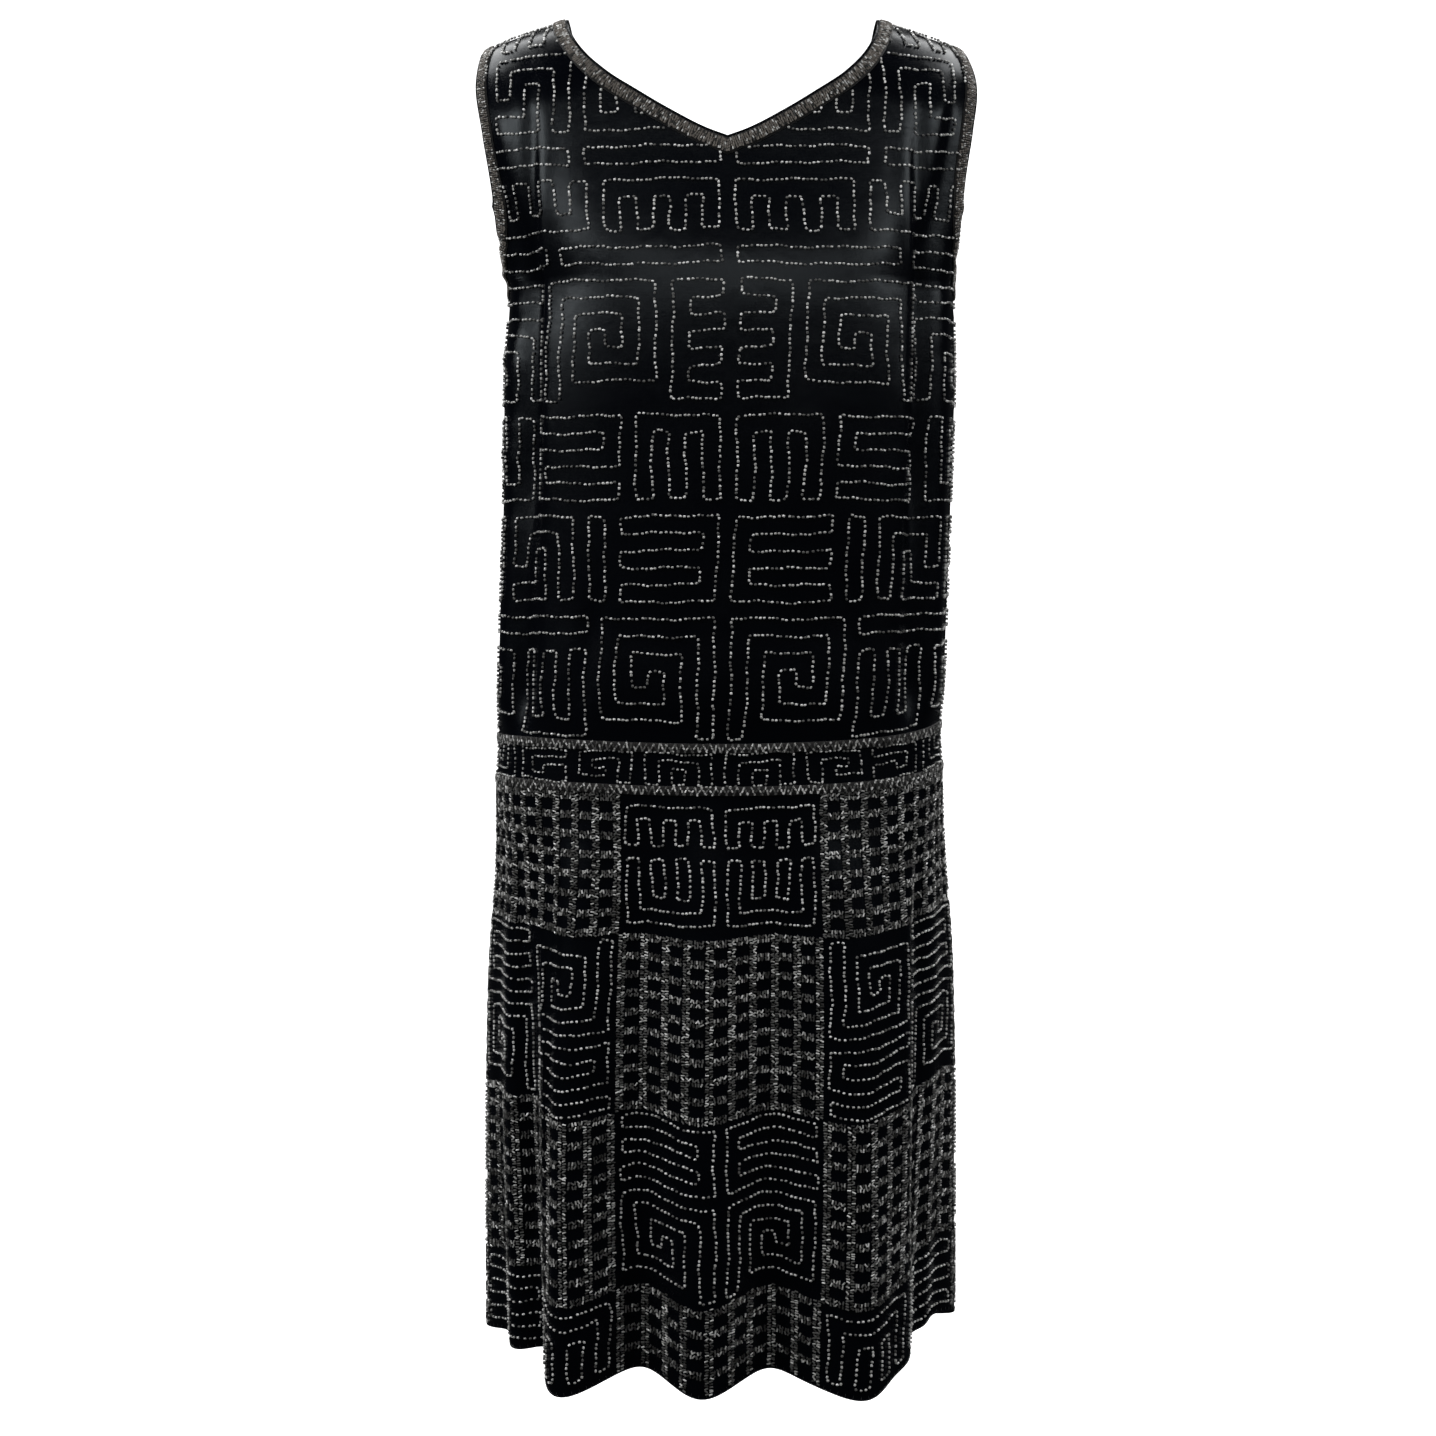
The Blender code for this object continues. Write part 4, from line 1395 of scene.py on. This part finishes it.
EDGE_MIX = (0.015, 0.165, 0.70, 0.12)
EDGING = (4, 0.0008, 0.0092, 0.00165, 0.0, EDGE_MIX)
ARM_EDGING = (4, 0.0008, 0.0082, 0.00165, 0.0, EDGE_MIX)
HIP_STITCH = (3, 0.0003, HIP_BORDER - 0.0003, 0.0026, 0.44, (0.12, 0.34, 0.38, 0.16))
for label, deep, back in NECKS:
    strip("neck_border_" + label, neck_strip(deep, back), NECK_BORDER, 150, False, EDGING)
for label, sign in ARMS:
    strip("armhole_border_" + label, arm_strip(sign), ARM_BORDER, 190, True, ARM_EDGING)
for label, level in (("upper", HIP), ("lower", BAND_FOOT)):
    strip("hip_border_" + label, hip_strip(level), HIP_BORDER, 260, True, HIP_STITCH)

# %% [markdown]
# ## Rolled edges and small stitches
# Neck, armholes and hem end in a narrow rolled hem: the raw edge is turned in twice and slip-stitched.
# A thin tube of the same silk stands for the roll. Short black stitches hold the outer side of each border.


# %%
# Edge rolls and the stitches beside them
def tube(name, path, radius, ring, material, sides=6):
    """A round roll along a path of points, as a closed mesh."""
    ahead = np.roll(path, -1, axis=0) if ring else np.concatenate([path[1:], path[-1:]])
    behind = np.roll(path, 1, axis=0) if ring else np.concatenate([path[:1], path[:-1]])
    along = unit(ahead - behind)
    side = unit(np.cross(along, (0.31, 0.17, 0.93)))
    other = np.cross(along, side)
    turn = np.arange(sides) / sides * 2 * np.pi
    loops = path[:, None] + radius * (np.cos(turn)[None, :, None] * side[:, None]
                                      + np.sin(turn)[None, :, None] * other[:, None])
    ids = np.arange(len(path) * sides).reshape(len(path), sides)
    around = np.concatenate([ids, ids[:1]]) if ring else ids
    faces = quads(np.concatenate([around, around[:, :1]], axis=1)).tolist()
    if not ring:
        faces += [ids[0, ::-1].tolist(), ids[-1].tolist()]
    mesh = bpy.data.meshes.new(name)
    mesh.from_pydata(loops.reshape(-1, 3).tolist(), [], faces)
    mesh.shade_smooth()
    mesh.materials.append(material)
    return kept(name, mesh)


ROLL = 0.0008
edge_paths = {}
share = np.linspace(1, -1, 181)
for label, deep, back in NECKS:
    x, z = neck_point(over_crest(np.abs(share)), deep)
    z = np.minimum(z, shoulder_height(x))
    edge_paths["neck_" + label] = (place(np.where(share < 0, -x, x), z, back), z, False)
arm_z = arm_heights(40, 50)
for label, sign in ARMS:
    g = 1 - arm_reach(arm_z)
    ring_g = np.concatenate([g, (2 - g[::-1])[1:-1]])
    edge_paths["arm_" + label] = (sign * ring_g, np.concatenate([arm_z, arm_z[::-1][1:-1]]), True)
edge_paths["hem"] = (np.linspace(-1, 3, 401)[:-1], np.full(400, HEM), True)
rolls = {}
for label, (g, z, ring) in edge_paths.items():
    path = surface(g, z) - 0.5 * CLOTH * normals(g, z)
    rolls[label] = tube("roll_" + label, path, ROLL, ring, silk.material)
print("rolls", len(rolls))

# %% [markdown]
# A beader fixes each border and seam with small stitches in black silk. They are short barrels of thread
# that lie across the edge, and over the side seams they hold the two panels together.

# %%
# Stitches along the outer side of the borders, and over the side seams
STITCH = spun(((-0.5, 0.25), (0.0, 0.5), (0.5, 0.25)), 4)
beads["thread"] = thread.material
stitch_frames = []
for label, (g, z, ring) in edge_paths.items():
    path = surface(g, z)
    run = run_along(path)
    pitch = 0.0034 if label != "hem" else 0.0060
    at = np.arange(pitch / 2, run[-1], pitch)
    g_at, z_at = np.interp(at, run, g), np.interp(at, run, z)
    out = normals(g_at, z_at)
    along = surface(np.interp(at + 4e-4, run, g), np.interp(at + 4e-4, run, z)) - surface(g_at, z_at)
    inward = np.cross(out, unit(along))
    # Into the cloth means away from the middle of the opening, or up from the hem
    middle = path.mean(axis=0) - (np.array([0, 0, 10.0]) if label == "hem" else 0)
    inward *= np.sign(((surface(g_at, z_at) - middle) * inward).sum(-1, keepdims=True))
    reach = 0.0014 if label != "hem" else 0.0016
    stitch_frames.append((surface(g_at, z_at) + inward * reach + 0.0006 * out, inward, out))
for x in (1.0, -1.0):
    z_at = np.concatenate([np.arange(UNDERARM - 0.012, HIP + 0.006, -0.0065),
                           np.arange(BAND_FOOT - 0.006, HEM + 0.004, -0.0065)])
    g_at = np.full(len(z_at), x)
    out = normals(g_at, z_at)
    along = unit(surface(g_at + 1e-3, z_at) - surface(g_at - 1e-3, z_at))
    stitch_frames.append((surface(g_at, z_at) + 0.0002 * out, along, out))
frames = tuple(np.concatenate([f[k] for f in stitch_frames]) for k in range(3))
sew("stitches", STITCH, frames, (0.0024, 0.00045), ("thread",), (1.0,))

# %%
# Flat cuts of the six panels
SHOULDER_EASE = 0.045
HEM_TURN = 0.004
EASE = 1.02
LENGTHS = {"bodice": SHOULDER_EASE - HIP, "hip": HIP - BAND_FOOT, "skirt": BAND_FOOT - HEM + HEM_TURN}
for name, piece in panels.items():
    bm = bmesh.new()
    bm.from_mesh(piece.data)
    area = sum(f.calc_area() for f in bm.faces) / 2
    bm.free()
    length = LENGTHS[name.split("_")[0]]
    width = max(2 * QUARTER * EASE, area / length * 1.001)
    cut = min(area, width * length)
    print(name, "cut", round(width, 3), "x", round(length, 3), "area", round(cut, 4))

# %% [markdown]
# ## Light, backdrop and camera
# A pale round sweep of paper stands under and about the dress.
# The camera is at the height of the waist, tilted slightly down.

# %%
# Studio
bpy.context.scene.view_settings.view_transform = "Standard"
paper = Look("paper", (0.92, 0.92, 0.92), 0.9)
paper.shade(paper.noise(3.0), (0.91, 0.91, 0.91), (0.95, 0.95, 0.95))
paper.shader.inputs["Emission Color"].default_value = (1.0, 1.0, 1.0, 1.0)
paper.shader.inputs["Emission Strength"].default_value = 1.0
FLOOR = -1.42
BEND = np.linspace(0.1, math.pi / 2, 14)
profile = [(0.0, 0.0, FLOOR), (0.0, 2.6, FLOOR)]
profile += [(0.0, 2.6 + math.sin(a), FLOOR + 1.0 - math.cos(a)) for a in BEND]
profile += [(0.0, 3.6, 3.6)]
bm = lathe(profile, (0, 0, 1), 72, 1e-5)
mesh = bpy.data.meshes.new("backdrop")
bm.to_mesh(mesh)
bm.free()
mesh.shade_smooth()
mesh.materials.append(paper.material)
backdrop = linked("backdrop", mesh)
backdrop.visible_glossy = False
backdrop.visible_diffuse = False


def lamp(name, where, aim, size, power, mirrored=True):
    data = bpy.data.lights.new(name, "AREA")
    data.shape = "RECTANGLE"
    data.size, data.size_y = size
    data.energy = power
    thing = linked(name, data)
    thing.location = where
    thing.rotation_euler = (Vector(aim) - Vector(where)).to_track_quat("-Z", "Y").to_euler()
    thing.visible_glossy = mirrored


lamp("band_front", (0.0, -2.75, 0.38), (0, 0, -0.2), (3.6, 0.30), 6.5)
lamp("band_left", (-2.4, -1.3, 0.38), (0, 0, -0.2), (2.0, 0.30), 12)
lamp("band_right", (2.4, -1.3, 0.38), (0, 0, -0.2), (2.0, 0.30), 8)
lamp("overhead", (0.0, -1.5, 2.3), (0, 0, -0.3), (4.4, 2.0), 56, False)
lamp("left_side", (-2.2, -0.7, 1.2), (-0.1, 0, -0.2), (1.3, 1.0), 46, False)
lamp("right_side", (2.2, -0.7, 1.2), (0.1, 0, -0.2), (1.3, 1.0), 30, False)
lamp("back_left", (1.7, 1.6, 1.7), (0, 0, -0.4), (1.8, 1.4), 30)
lamp("back_right", (-1.7, 1.6, 1.7), (0, 0, -0.4), (1.8, 1.4), 30)
world = bpy.data.worlds.new("studio")
world.use_nodes = True
world.node_tree.nodes["Background"].inputs["Color"].default_value = (0.92, 0.96, 1.0, 1.0)
world.node_tree.nodes["Background"].inputs["Strength"].default_value = 0.015
bpy.context.scene.world = world

camera_data = bpy.data.cameras.new("camera")
camera = linked("camera", camera_data)
camera_data.lens = 78.8
camera_data.sensor_width = 36.0
camera.location = (-0.007, -2.4, -0.418)
camera.rotation_euler = (math.radians(90 - 2.6), 0, 0)
bpy.context.scene.camera = camera
